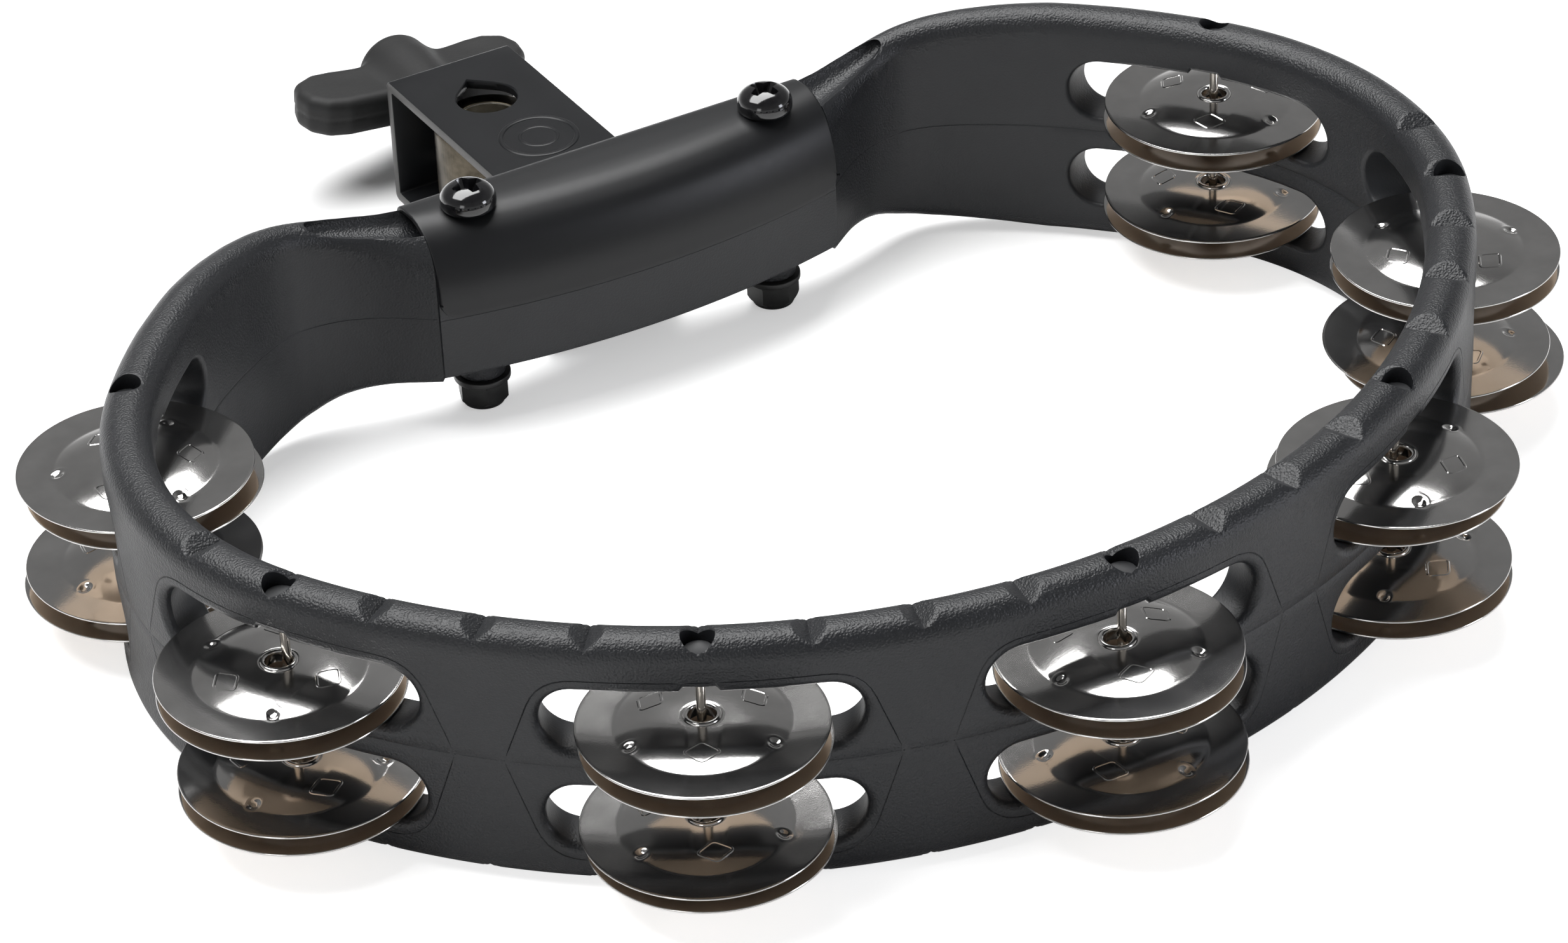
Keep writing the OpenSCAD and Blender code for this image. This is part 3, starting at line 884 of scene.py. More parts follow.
def pin_holes():
    """One tool for the blind holes above all pins."""
    verts, faces = loft([circle(3.25, 23.3, 40), circle(3.25, 32, 40)])
    return merge([(np.array(verts) + [x, y, 0], faces) for x, y in PINS])


def scoop(side):
    """A tapered hollow with a round tip, lying outwards from the saddle's end."""
    profile = [(0, -3), (6.7, -3), (6.4, 2.5), (5.4, 8), (4.2, 15), (2.9, 22), (2.0, 25.6),
               (1.5, 26.9), (0.8, 27.7), (0, 28.0)]
    verts, faces = lathe(profile, 48)
    x, y, z = verts.T
    turn = rad(16)
    verts = np.stack([z * math.cos(turn) - x * math.sin(turn),
                      z * math.sin(turn) + x * math.cos(turn), y], -1)
    return (verts + [44, -60.8, 21.6]) * [side, 1, 1], faces


def add_hoop():
    shell = hoop_shell()
    hoop = add_piece("hoop_frame", (shell.verts, shell.faces), "hoop", [ABS],
                     "frame", sharp=28.0, weld=0.004, grain=shell.grain)
    combine(hoop, pin_holes())
    boss = lathe(rounded([(0, -11), (5.4, -11), (5.2, BOSS_BOTTOM), (0, BOSS_BOTTOM)],
                         [0, 0.5], 3), 56)
    for side, _ in SIDES:
        combine(hoop, boss, at=(side * SCREW_X, SCREW_Y, 0), operation="UNION")
        combine(hoop, scoop(side))
    smooth(hoop.data, 28)


add_hoop()

# ------------------------------------------------------------------ saddle
SHEET = 1.2                     # saddle steel thickness
SADDLE_REAR = -52.6
SADDLE_LOW, SADDLE_END_R = 0.55, 4.0   # lower edge, and the radius of its corners
SADDLE_EDGE_R = 0.35
# Outer face at the saddle's ends, from the rear over the top and down the front (y, z)
SADDLE_PROFILE = [
    (SADDLE_REAR, 18.2), (-52.7, 18.9), (-53.05, 19.55), (-53.6, 20.05), (-54.5, 20.4),
    (-56.0, 20.62), (-58, 20.75), (-60, 20.78), (-62.2, 20.25), (-63.9, 19.4), (-65.6, 18.3),
    (-67, 17.0), (-68.2, 15.4), (-69.2, 13.5), (-70.0, 11.4), (-70.6, 9.2), (-70.9, 7.1),
    (-71.0, 5.2), (-71.0, 4.4)]
SADDLE_RUN = len(SADDLE_PROFILE) + 8   # points along one face, with four more at each end


def edge_drop(gap, radius):
    """How far a rounded edge has dropped at this distance from the end."""
    return radius - math.sqrt(radius ** 2 - (radius - gap) ** 2) if gap < radius else 0.0


def saddle_section(x):
    """Closed loop of (y, z): outer face, front edge, inner face, rear edge."""
    bow = handle_y(x) - handle_y(SADDLE_HALF)
    gap = SADDLE_HALF - abs(x)
    low = SADDLE_LOW + edge_drop(gap, SADDLE_END_R)
    face = []
    for y, z in SADDLE_PROFILE:
        forward = min(1.0, max(0.0, (-54.2 - y) / 6.0))
        sag = 0.25 * forward * (1 - abs(x) / SADDLE_HALF) if z > 18 else 0
        face.append((y + bow * forward, z - sag))
    rear = [(SADDLE_REAR, z) for z in (low + 0.35, 5, 10, 15)]
    y_end, z_end = face[-1]
    drop = low + 0.35 - z_end if low < z_end - 0.8 else (low - z_end) * 0.9
    front = [(y_end, z_end + drop * t) for t in (0.25, 0.5, 0.75, 1.0)]
    path = np.array(rear + face + front)
    # the sheet's end edges are inset a little, so that they look rounded
    inset = edge_drop(gap, SADDLE_EDGE_R)
    along = np.gradient(path, axis=0)
    along /= np.linalg.norm(along, axis=1)[:, None]
    normal = np.stack([along[:, 1], -along[:, 0]], -1)
    outer = path - normal * inset
    inner = path - normal * (SHEET - inset * 0.6)
    ahead, n = along[-1], normal[-1]
    front_edge = [outer[-1] + ahead * 0.22 - n * 0.08, outer[-1] + ahead * 0.34 - n * 0.4,
                  outer[-1] + ahead * 0.34 - n * (SHEET - 0.3), inner[-1] + ahead * 0.2]
    behind, n = -along[0], normal[0]
    rear_edge = [inner[0] + behind * 0.2, outer[0] + behind * 0.34 - n * (SHEET - 0.4),
                 outer[0] + behind * 0.34 - n * 0.4, outer[0] + behind * 0.22 - n * 0.08]
    return list(outer) + front_edge + list(inner[::-1]) + rear_edge


def saddle_cover():
    sections = {round(x, 3) for x in np.linspace(-SADDLE_HALF, SADDLE_HALF, 97)}
    sections |= {side * (SADDLE_HALF - d) for side in (-1, 1)
                 for d in (0.05, 0.15, 0.3, 0.5, 1.0, 1.6, 2.2, 2.8, 3.3, 3.7, 4.0)}
    verts, faces, rows = [], [], []
    for x in sorted(sections):
        loop = saddle_section(x)
        rows.append(list(range(len(verts), len(verts) + len(loop))))
        verts.extend((x, y, z) for y, z in loop)
    for a, b in zip(rows[:-1], rows[1:]):
        faces += ring_quads(a, b)
    run = SADDLE_RUN
    for row, flip in ((rows[0], False), (rows[-1], True)):
        outer, inner = row[:run], row[run + 4:2 * run + 4][::-1]
        faces += end_quads(outer, inner, flip)
        for cap in ([outer[-1]] + row[run:run + 4] + [inner[-1]],
                    [inner[0]] + row[2 * run + 4:] + [outer[0]]):
            faces.append(tuple(cap if flip else cap[::-1]))
    return verts, faces


def back_flange():
    """Rounded plate between the handle's rear face and the clamp."""
    half_width, top, bottom, radius = 17, 8, -25.6, 1.5
    x, low, high = half_width - radius, bottom + radius, top - radius
    outline = []
    for centre_x, centre_z, first in ((x, low, -90), (x, high, 0), (-x, high, 90), (-x, low, 180)):
        for k in range(6):
            angle = rad(first + 18 * k)
            outline.append((centre_x + radius * math.cos(angle),
                            centre_z + radius * math.sin(angle)))
    middle = (top + bottom) / 2
    loops = []
    for y, inset in ((-53.74, 0.0), (-52.85, 0.0), (-52.62, 0.08), (-52.52, 0.3)):
        loops.append([(x - math.copysign(inset, x), y, z - math.copysign(inset, z - middle))
                      for x, z in outline])
    return loft(loops, flip_last=True)


for name, shape in (("saddle_cover_piece", saddle_cover()), ("saddle_back_flange", back_flange())):
    add_piece(name, shape, "hoop", [SADDLE_COAT], "saddle_cover", sharp=40)

# ------------------------------------------------------------------ clamp channel
CLAMP_FRONT, CLAMP_BACK = -52.5, 19.6
CLAMP_TOP, CLAMP_BOTTOM, CLAMP_HALF = 5.9, -24.7, 15.3
PLATE = 2.3                                # clamp plate thickness
BOLT_Z = (CLAMP_TOP + CLAMP_BOTTOM) / 2    # axis of the eye bolt and wing nut


def channel():
    """A U lying on its side, closed at the back; also returns which faces are cut edges."""
    bend_out, bend_in, bevel = 1.6, 0.45, 0.32
    flat_y = np.linspace(CLAMP_FRONT, CLAMP_BACK - bend_out, 20)
    outer = [(y, CLAMP_TOP) for y in flat_y[:-1]]
    inner = [(y, CLAMP_TOP - PLATE) for y in flat_y[:-1]]
    for sign, centre_z, first in ((1, CLAMP_TOP - bend_out, 90), (-1, CLAMP_BOTTOM + bend_out, 0)):
        inner_z = centre_z + sign * (bend_out - PLATE - bend_in)
        for k in range(9):
            angle = rad(first - 90 * k / 8)
            cosine, sine = math.cos(angle), math.sin(angle)
            outer.append((CLAMP_BACK - bend_out + bend_out * cosine, centre_z + bend_out * sine))
            inner.append((CLAMP_BACK - PLATE - bend_in + bend_in * cosine,
                          inner_z + bend_in * sine))
        if sign == 1:
            flat_z = np.linspace(CLAMP_TOP - bend_out, CLAMP_BOTTOM + bend_out, 10)[1:-1]
            outer += [(CLAMP_BACK, z) for z in flat_z]
            inner += [(CLAMP_BACK - PLATE, z) for z in flat_z]
    back_y = np.linspace(CLAMP_BACK - bend_out, CLAMP_FRONT, 20)[1:]
    outer += [(y, CLAMP_BOTTOM) for y in back_y]
    inner += [(y, CLAMP_BOTTOM + PLATE) for y in back_y]
    outer, inner = np.array(outer), np.array(inner)
    normal = outer - inner
    normal /= np.linalg.norm(normal, axis=1)[:, None]

    verts, faces, edges, rows = [], [], [], []
    levels = [(-CLAMP_HALF, bevel), (-CLAMP_HALF + bevel * 0.3, bevel * 0.3),
              (-CLAMP_HALF + bevel, 0), (-5, 0)]
    levels += [(-x, inset) for x, inset in levels[::-1]]
    for x, inset in levels:
        loop = list(outer - normal * inset) + list((inner + normal * inset)[::-1])
        rows.append(list(range(len(verts), len(verts) + len(loop))))
        verts.extend((x, y, z) for y, z in loop)
    for i, (a, b) in enumerate(zip(rows[:-1], rows[1:])):
        faces += ring_quads(a, b)
        edges += [1 if i in (0, len(rows) - 2) else 0] * len(a)
    count = len(outer)
    for row, flip in ((rows[0], False), (rows[-1], True)):
        faces += end_quads(row[:count], row[count:][::-1], flip)
        edges += [1] * (count - 1)
    return (verts, faces), edges


def key_hole():
    """Tool for the round hole with a V towards the back, its edges eased on both faces."""
    radius, tip = 6.8, 9.4
    half = math.acos(radius / tip)
    outline = []
    for k in range(65):
        angle = math.pi / 2 + half + (2 * math.pi - 2 * half) * k / 64
        outline.append((radius * math.cos(angle), radius * math.sin(angle)))
    outline += [(0.35, tip - 0.30), (0.12, tip - 0.05), (-0.12, tip - 0.05), (-0.35, tip - 0.30)]
    centre = np.array([0, 0.6])
    from_centre = np.array(outline) - centre
    distance = np.linalg.norm(from_centre, axis=1)[:, None]
    # height from the plate's middle, growth of the outline
    levels = [(-3, 1.9), (-PLATE / 2, 0.32), (-0.93, 0.10), (-0.75, 0.0)]
    levels += [(-z, growth) for z, growth in levels[::-1]]
    return loft([[(x, y, z) for x, y in centre + from_centre * (1 + growth / distance)]
                 for z, growth in levels])


def add_channel():
    shape, edges = channel()
    # the cut edges take the lighter grey, a painted highlight
    clamp = add_piece("clamp_channel_piece", shape, "hoop",
                      [CLAMP_COAT, EDGE_PAINTED_HIGHLIGHT], "clamp_channel", sharp=30, face_materials=edges)
    for plate_z in (CLAMP_TOP - PLATE / 2, CLAMP_BOTTOM + PLATE / 2):
        combine(clamp, key_hole(), at=(0, 0, plate_z))
    shank_hole = lathe([(0, -9), (4.3, -9), (4.3, 9), (0, 9)], 48)
    combine(clamp, along_y(shank_hole), at=(0, 16, BOLT_Z))
    smooth(clamp.data, 28)


add_channel()

# Two low rounded ridges on the top plate, one inside the other: name, segments, (radius, z)
PRESSED_RINGS = (
    ("clamp_pressed_ring", 96, [(7.5, 5.2), (7.75, 5.92), (8.05, 6.04), (8.4, 6.09),
                                (8.75, 6.04), (9.05, 5.92), (9.3, 5.2)]),
    ("clamp_pressed_dot", 72, [(3.6, 5.2), (3.8, 5.92), (4.05, 6.01), (4.35, 6.01),
                               (4.6, 5.92), (4.8, 5.2)]))
for name, count, profile in PRESSED_RINGS:
    add_piece(name, lathe(profile, count, closed=True), "hoop", [CLAMP_COAT],
              "clamp_channel", at=(1.4, -21.9, 0), sharp=50)


# ------------------------------------------------------------------ eye bolt
def add_eye_bolt():
    """An upright sleeve round z with a threaded shank out of its back."""
    bore, radius, half = 7.05, 12.35, 9.95
    low, high = BOLT_Z - half, BOLT_Z + half
    profile = rounded([(bore, low), (radius, low), (radius, high), (bore, high), (bore, low)],
                      [2.2, 2.2, 0.5], 7)[1:-1]
    eye = lathe([(bore, BOLT_Z - 9.6)] + profile + [(bore, BOLT_Z + 9.4)], 120, closed=True)
    root = 3.35
    profile = [(0, 8.2), (3.3, 8.2), (3.3, 11.5), (root, 14.6)]
    profile += thread(root, crest=3.86, start=15.0, turns=19, pitch=1.25, rises=(0.5, 0.68, 1.12))
    profile += [(root, 39.2), (2.9, 39.8), (0, 39.8)]
    shank_verts, shank_faces = along_y(lathe(profile, 40))
    # the barrel's outer faces take the darkened zinc, painted shade for the barrel inside the
    # channel; the bore's faces and the shank are bright
    in_bore = np.hypot(eye[0][:, 0], eye[0][:, 1]) < 7.2
    bright = [int(all(in_bore[i] for i in f)) for f in eye[1]] + [1] * len(shank_faces)
    shape = merge([eye, (shank_verts + [0, 0, BOLT_Z], shank_faces)])
    add_piece("eye_bolt_piece", shape, "eye_bolt", [EYE_ZINC_PAINTED_SHADE, ZINC], "eye_bolt",
              face_materials=bright)


add_eye_bolt()


# ------------------------------------------------------------------ wing nut
def surface_nets(distance, low, high, step):
    """Meshes the zero surface of a distance function with one vertex per crossed cell."""
    xs, ys, zs = (np.arange(a, b + step, step) for a, b in zip(low, high))
    solid = distance(*np.meshgrid(xs, ys, zs, indexing="ij")) < 0
    nx, ny, nz = solid.shape
    corners = np.zeros((nx - 1, ny - 1, nz - 1), int)
    for dx in (0, 1):
        for dy in (0, 1):
            for dz in (0, 1):
                corners += solid[dx:nx - 1 + dx, dy:ny - 1 + dy, dz:nz - 1 + dz]
    crossed = (corners > 0) & (corners < 8)
    cells = np.argwhere(crossed)
    index = -np.ones(crossed.shape, int)
    index[crossed] = np.arange(len(cells))
    verts = np.stack([xs[cells[:, 0]], ys[cells[:, 1]], zs[cells[:, 2]]], -1) + step / 2
    # move the vertices onto the surface along the gradient, in short steps
    probe = 0.05
    for _ in range(4):
        value = distance(*verts.T)
        gradient = np.stack([distance(*(verts + offset).T) - distance(*(verts - offset).T)
                             for offset in np.eye(3) * probe], -1) / (2 * probe)
        move = -(value / np.maximum((gradient ** 2).sum(-1), 0.2))[:, None] * gradient
        length = np.linalg.norm(move, axis=1)
        move *= np.minimum(1, 0.45 * step / np.maximum(length, 1e-9))[:, None]
        verts = verts + move
    faces = []
    for axis in range(3):
        here, ahead = [slice(None)] * 3, [slice(None)] * 3
        here[axis], ahead[axis] = slice(0, -1), slice(1, None)
        here, ahead = solid[tuple(here)], solid[tuple(ahead)]
        u, v = [(1, 2), (2, 0), (0, 1)][axis]
        for cell in np.argwhere(here != ahead):
            if any(cell[w] == 0 or cell[w] >= solid.shape[w] - 1 for w in (u, v)):
                continue
            ids = []
            for du, dv in ((-1, -1), (0, -1), (0, 0), (-1, 0)):
                near = cell.copy()
                near[u] += du
                near[v] += dv
                ids.append(index[tuple(near)])
            faces.append(tuple(ids if here[tuple(cell)] else ids[::-1]))
    return verts, faces


def polygon_distance(x, y, polygon):
    """Signed distance to a polygon, negative inside."""
    nearest = np.full(x.shape, 1e9)
    sign = np.ones(x.shape)
    for (ax, ay), (bx, by) in zip(polygon, polygon[1:] + polygon[:1]):
        ex, ey = bx - ax, by - ay
        wx, wy = x - ax, y - ay
        t = np.clip((wx * ex + wy * ey) / (ex * ex + ey * ey), 0, 1)
        dx, dy = wx - ex * t, wy - ey * t
        nearest = np.minimum(nearest, dx * dx + dy * dy)
        above, below, left = y >= ay, y < by, ex * wy > ey * wx
        sign = np.where((above & below & left) | (~above & ~below & ~left), -sign, sign)
    return sign * np.sqrt(nearest)


def smooth_union(a, b, blend):
    h = np.clip(0.5 + 0.5 * (b - a) / blend, 0, 1)
    return b + (a - b) * h - blend * h * (1 - h)


def rounded_overlap(a, b, radius):
    """Overlap of two solids with a rounded edge where they meet."""
    a, b = a + radius, b + radius
    return (np.sqrt(np.maximum(a, 0) ** 2 + np.maximum(b, 0) ** 2)
            + np.minimum(np.maximum(a, b), 0) - radius)


# Right lobe in plan before it is grown (x, y)
LOBE = [(3, 32.6), (11, 33.0), (19, 33.4), (22.8, 34.6), (24.9, 37.2), (25.4, 40.2),
        (24.6, 42.8), (21.5, 44.4), (17.5, 44.2), (12, 43.2), (3, 42.8)]
LOBE_GROWTH, LOBE_HALF_HEIGHT = 3.2, 4.75
BOSS_Y = [21, 24, 32, 42, 47, 51]
BOSS_RADII = [7.8, 8.0, 8.5, 9.0, 8.9, 8.7]


def grip_distance(x, y, z):
    across = np.abs(x)
    radius = np.sqrt(x * x + z * z)
    boss = rounded_overlap(radius - np.interp(y, BOSS_Y, BOSS_RADII),
                           np.abs(y - 35.95) - 14.25, 2.6)
    plan = polygon_distance(across, y, LOBE) - LOBE_GROWTH
    # each lobe is dished a little on both faces
    dish = 0.45 * np.exp(-(((across - 17) / 5.5) ** 2 + ((y - 40.5) / 4.5) ** 2))
    lobe = rounded_overlap(plan, np.abs(z) - (LOBE_HALF_HEIGHT - dish), 2.4)
    grip = smooth_union(boss, lobe, 2.6)
    # a faint step and groove round the lobes near mid height
    on_lobe = np.clip((across - 8.5) / 1.5, 0, 1)
    step = np.where(z < 0, 0.10, 0.0)
    groove = 0.14 * np.exp(-((z + 0.3) / 0.42) ** 2)
    grip = grip + step * on_lobe + groove * on_lobe
    wide_bore = np.maximum(radius - 5.7, np.abs(y - 23) - 11.0)
    narrow_bore = np.maximum(radius - 4.3, y - 44.6)
    return np.maximum(np.maximum(grip, -wide_bore), -narrow_bore)


def add_wing_nut():
    verts, faces = surface_nets(grip_distance, (-30.5, 20.4, -11.5), (30.5, 53, 11.5), 0.58)
    turn = rad(4.2)                        # the lobes stop a little off level
    x, y, z = verts.T
    verts = np.stack([x * math.cos(turn) + z * math.sin(turn), y,
                      z * math.cos(turn) - x * math.sin(turn)], -1)
    add_piece("wing_nut_grip_piece", (verts, faces), "wing_nut", [RUBBER],
              "wing_nut_grip", at=(0, 0, BOLT_Z), sharp=48)
    insert = [(3.97, 33.6), (3.97, 19.68), (7.3, 19.68), (7.58, 19.95), (7.58, 21.35),
              (7.3, 21.62), (5.58, 21.62), (5.58, 33.6)]
    add_piece("wing_nut_insert_piece", along_y(lathe(insert, 72, closed=True)), "wing_nut",
              [ZINC], "wing_nut_insert", at=(0, 0, BOLT_Z))


add_wing_nut()

# ------------------------------------------------------------------ saddle screws, washers, nuts
HEAD_Z = 20.62                             # underside of the screw heads
CROSS_TURN = {"left": rad(8), "right": rad(20)}
NUT_TURN = {"left": rad(11), "right": rad(37)}
# Cross recess: height above the head's underside, half width and length of an arm
CROSS_LEVELS = ((6.0, 1.05, 3.9), (5.1, 0.95, 3.4), (4.6, 0.86, 3.15), (2.3, 0.50, 1.7),
                (1.9, 0.42, 1.3))
# Turned outline that chamfers the hexagon, and the collar below it (radius, z)
NUT_TURNED = [(0, -21.9), (5.35, -21.9), (5.8, -22.3), (5.85, -25.9), (5.35, -26.55),
              (4.9, -26.8), (4.85, -27.2), (4.55, -27.75), (3.9, -28.0), (3.1, -28.04),
              (0, -28.04)]
NUT_COLLAR = [(0, -26.0), (4.75, -26.0), (4.75, -27.2), (4.5, -27.75), (3.9, -28.05),
              (3.3, -28.1), (3.15, -27.9), (0, -27.9)]


def screw():
    root, shank = 2.55, 2.98
    profile = [(0, -28.0), (2.2, -28.0), (2.7, -27.5)]
    profile += thread(root, shank, start=-27.3, turns=7, pitch=1.0, rises=(0.35, 0.5, 0.85))
    profile += [(shank, -20.0), (shank, HEAD_Z), (5.3, HEAD_Z), (5.7, HEAD_Z + 0.12),
                (5.93, HEAD_Z + 0.45), (6.0, HEAD_Z + 1.0)]
    profile += [(1.5 + 4.5 * math.cos(rad(a)), HEAD_Z + 1.8 + 3.4 * math.sin(rad(a)))
                for a in range(0, 91, 9)]
    profile += [(0.8, HEAD_Z + 5.2), (0, HEAD_Z + 5.2)]
    return lathe(profile, 96)


def cross_recess(turn):
    loops = []
    for height, width, length in CROSS_LEVELS:
        loop = []
        for k in range(4):
            angle = math.pi / 2 * k + turn
            cosine, sine = math.cos(angle), math.sin(angle)
            for x, y in ((length, -width), (length + 0.18, 0), (length, width),
                         (width * 1.35, width * 1.35)):
                loop.append((x * cosine - y * sine, x * sine + y * cosine, HEAD_Z + height))
        loops.append(loop)
    return loft(loops)


def hexagon_prism(turn):
    angles = [turn + math.pi / 3 * k for k in range(6)]
    return loft([[(5.78 * math.cos(a), 5.78 * math.sin(a), z) for a in angles]
                 for z in (-21.97, -26.9)])


for side, side_name in SIDES:
    place = (side * SCREW_X, SCREW_Y, 0)
    ob = add_piece("saddle_screw_" + side_name, screw(), "hoop", [GLOSS],
                   "saddle_screws", at=place, sharp=30)
    combine(ob, cross_recess(CROSS_TURN[side_name]), at=place)
    smooth(ob.data, 30)

    washer = rounded([(3.2, -21.88), (6.2, -21.88), (6.2, -20.45), (3.2, -20.45)],
                     [0.25, 0.25], 3)
    add_piece("screw_washer_" + side_name, lathe(washer, 72, closed=True), "hoop",
              [OXIDE], "screw_washers", at=place)

    ob = add_piece("lock_nut_" + side_name, hexagon_prism(NUT_TURN[side_name]), "hoop",
                   [OXIDE], "lock_nuts", at=place, sharp=30)
    combine(ob, lathe(NUT_TURNED, 80), at=place, operation="INTERSECT")
    combine(ob, lathe(NUT_COLLAR, 80), at=place, operation="UNION")
    smooth(ob.data, 30)

# ------------------------------------------------------------------ pins and plugs
PIN_R = 0.93
PIN_PROFILE = ([(0, -23.98), (0.6, -23.98), (PIN_R, -23.6)]
               + [(PIN_R, z) for z in np.linspace(-22, 21, 12)]
               + [(PIN_R, 22.4), (0.6, 22.75), (0, 22.78)])
PLUG_PROFILE = [(0, 23.22), (3.12, 23.22), (3.12, 24.3), (2.8, 24.5), (2.2, 24.42),
                (1.1, 24.3), (0, 24.28)]
for number, pin in enumerate(PINS, 1):
    place = (pin[0], pin[1], 0)
    add_piece(f"jingle_pin_{number}", lathe(PIN_PROFILE, 40), "hoop",
              [PIN_NICKEL], f"pin_{number}", at=place, sharp=30)
    add_piece(f"pin_plug_{number}", lathe(PLUG_PROFILE, 56), "hoop", [ABS],
              "pin_hole_plugs", at=place, sharp=30)

# ------------------------------------------------------------------ jingles
JINGLE_R, DOME_R, LIP_R = 24.0, 16.6, 4.15   # edge, foot of the dome, start of the centre lip
JINGLE_THICK = 0.5
DENT_AT, LOZENGE_AT = 15.5, 11.2             # radii of the dents and the raised lozenges


def jingle_curve():
    """Smoothed lower surface of a jingle from the lip outwards: radii and heights."""
    r = np.linspace(LIP_R, JINGLE_R, 248)
    u = np.clip((r - LIP_R) / (DOME_R - LIP_R), 0, 1)
    dome = 0.16 + 1.66 * np.cos(np.pi / 2 * u ** 1.35) ** 0.9
    rim = 0.16 + 0.12 * np.clip((r - DOME_R) / (JINGLE_R - DOME_R), 0, 1) ** 1.3
    z = np.where(r < DOME_R, dome, rim)
    kernel = np.exp(-0.5 * (np.arange(-9, 10) / 4.0) ** 2)
    kernel /= kernel.sum()
    padded = np.concatenate([np.full(9, z[0]), z, z[-1] + (z[-1] - z[-2]) * np.arange(1, 10)])
    return r, np.convolve(padded, kernel, "valid")


CURVE_R, CURVE_Z = jingle_curve()


def lower_z(r):
    return np.interp(r, CURVE_R, CURVE_Z)


def lozenge_outline():
    """Rounded lozenge round the origin."""
    corners = [np.array(p, float) for p in ((-3.6, 0), (0, -2.7), (3.6, 0), (0, 2.7))]
    out = []
    for i, corner in enumerate(corners):
        before, after = corners[i - 1], corners[(i + 1) % 4]
        start, end = corner + (before - corner) * 0.22, corner + (after - corner) * 0.22
        out += bend(start, corner, end, 6)
        out += [end + (after + (corner - after) * 0.22 - end) * f for f in (0.33, 0.67)]
    return np.array(out)


def lozenge_ridge(direction):
    """A closed low ridge along the lozenge, on the jingle's upper face."""
    outline = lozenge_outline()
    along = np.roll(outline, -1, 0) - np.roll(outline, 1, 0)
    along /= np.linalg.norm(along, axis=1)[:, None]
    normals = np.stack([along[:, 1], -along[:, 0]], -1)
    ridge = [(-0.33, -0.18), (-0.30, 0.0), (-0.14, 0.12), (0.14, 0.12), (0.30, 0.0),
             (0.33, -0.18)]                  # offset across, height
    cosine, sine = math.cos(direction), math.sin(direction)
    verts, faces = [], []
    for point, normal in zip(outline, normals):
        for offset, height in ridge:
            around, outward = point + normal * offset
            x = (LOZENGE_AT + outward) * cosine - around * sine
            y = (LOZENGE_AT + outward) * sine + around * cosine
            verts.append((x, y, float(lower_z(math.hypot(x, y))) + JINGLE_THICK + height))
    size = len(ridge)
    for i in range(len(outline)):
        a, b = i * size, (i + 1) % len(outline) * size
        for k in range(size):
            k2 = (k + 1) % size
            faces.append((a + k, b + k, b + k2, a + k2))
    return verts, faces


def jingle(seed):
    """One plate with its centre tube; also returns 1 for each face of the underside."""
    rng = np.random.default_rng(seed)
    dents = [math.pi / 2 + 2 * math.pi / 3 * k + rng.uniform(-0.03, 0.03) for k in range(3)]
    angles = []
    near = rad(8.5)                          # the mesh is finer this near a dent
    for k, dent in enumerate(dents):
        following = dents[(k + 1) % 3] + (2 * math.pi if k == 2 else 0)
        angles += list(np.linspace(dent - near, dent + near, 23))
        angles += list(np.linspace(dent + near, following - near, 30))[1:-1]
    angles = np.array(sorted(a % (2 * math.pi) for a in angles))
    cosines, sines = np.cos(angles), np.sin(angles)
    radii = np.concatenate([[LIP_R, 4.55, 5.2, 5.9, 6.7], np.linspace(7.6, 13.4, 8),
                            np.arange(13.8, 17.8, 0.22), np.linspace(18.2, 23.4, 9), [23.7]])
    x, y = radii[:, None] * cosines, radii[:, None] * sines
    warp = 0.06 * np.sin(2 * angles + rng.uniform(0, 6))[None, :]
    low = lower_z(radii)[:, None] + warp * ((radii[:, None] - 10) / 14).clip(0, 1) ** 2
    for dent in dents:
        away = np.sqrt((x - DENT_AT * math.cos(dent)) ** 2 + (y - DENT_AT * math.sin(dent)) ** 2)
        low -= 0.50 * np.exp(-(away / 1.02) ** 4)
        low += 0.05 * np.exp(-((away - 1.75) / 0.35) ** 2)

    verts, rings = [], []

    def ring(r, z):
        start = len(verts)
        verts.extend(zip(r * cosines, r * sines, np.broadcast_to(z, angles.shape)))
        rings.append(list(range(start, len(verts))))

    # up inside the tube and over the lip
    ring(2.67, 0.14)
    ring(2.67, 1.95)
    for degrees in range(0, 181, 22):
        ring(3.20 - 0.53 * math.cos(rad(degrees)), 2.13 + 0.53 * math.sin(rad(degrees)))
    ring(3.87, 2.28)
    # out over the upper face and round the edge
    for r, z in zip(radii, low):
        ring(r, z + JINGLE_THICK)
    half = JINGLE_THICK / 2
    for degrees in (60, 30, 0, -30, -60):
        ring(23.76 + 0.24 * math.cos(rad(degrees)), low[-1] + half + half * math.sin(rad(degrees)))
    first_under = len(rings) - 1
    # back in under the plate and down outside the tube
    for r, z in zip(radii[:0:-1], low[:0:-1]):
        ring(r, z)
    ring(LIP_R, low[0] - 0.02)
    for r, z in ((3.55, 1.62), (3.17, 1.3), (3.17, 0.2), (3.05, 0.1), (2.77, 0.1)):
        ring(r, z)
    faces, under = [], []
    for i, (a, b) in enumerate(zip(rings, rings[1:] + rings[:1])):
        faces += ring_quads(a, b)
        under += [int(i >= first_under)] * len(a)
    shape = merge([(verts, faces)] + [lozenge_ridge(dent + math.pi / 3) for dent in dents])
    return shape, under + [0] * (len(shape[1]) - len(under))


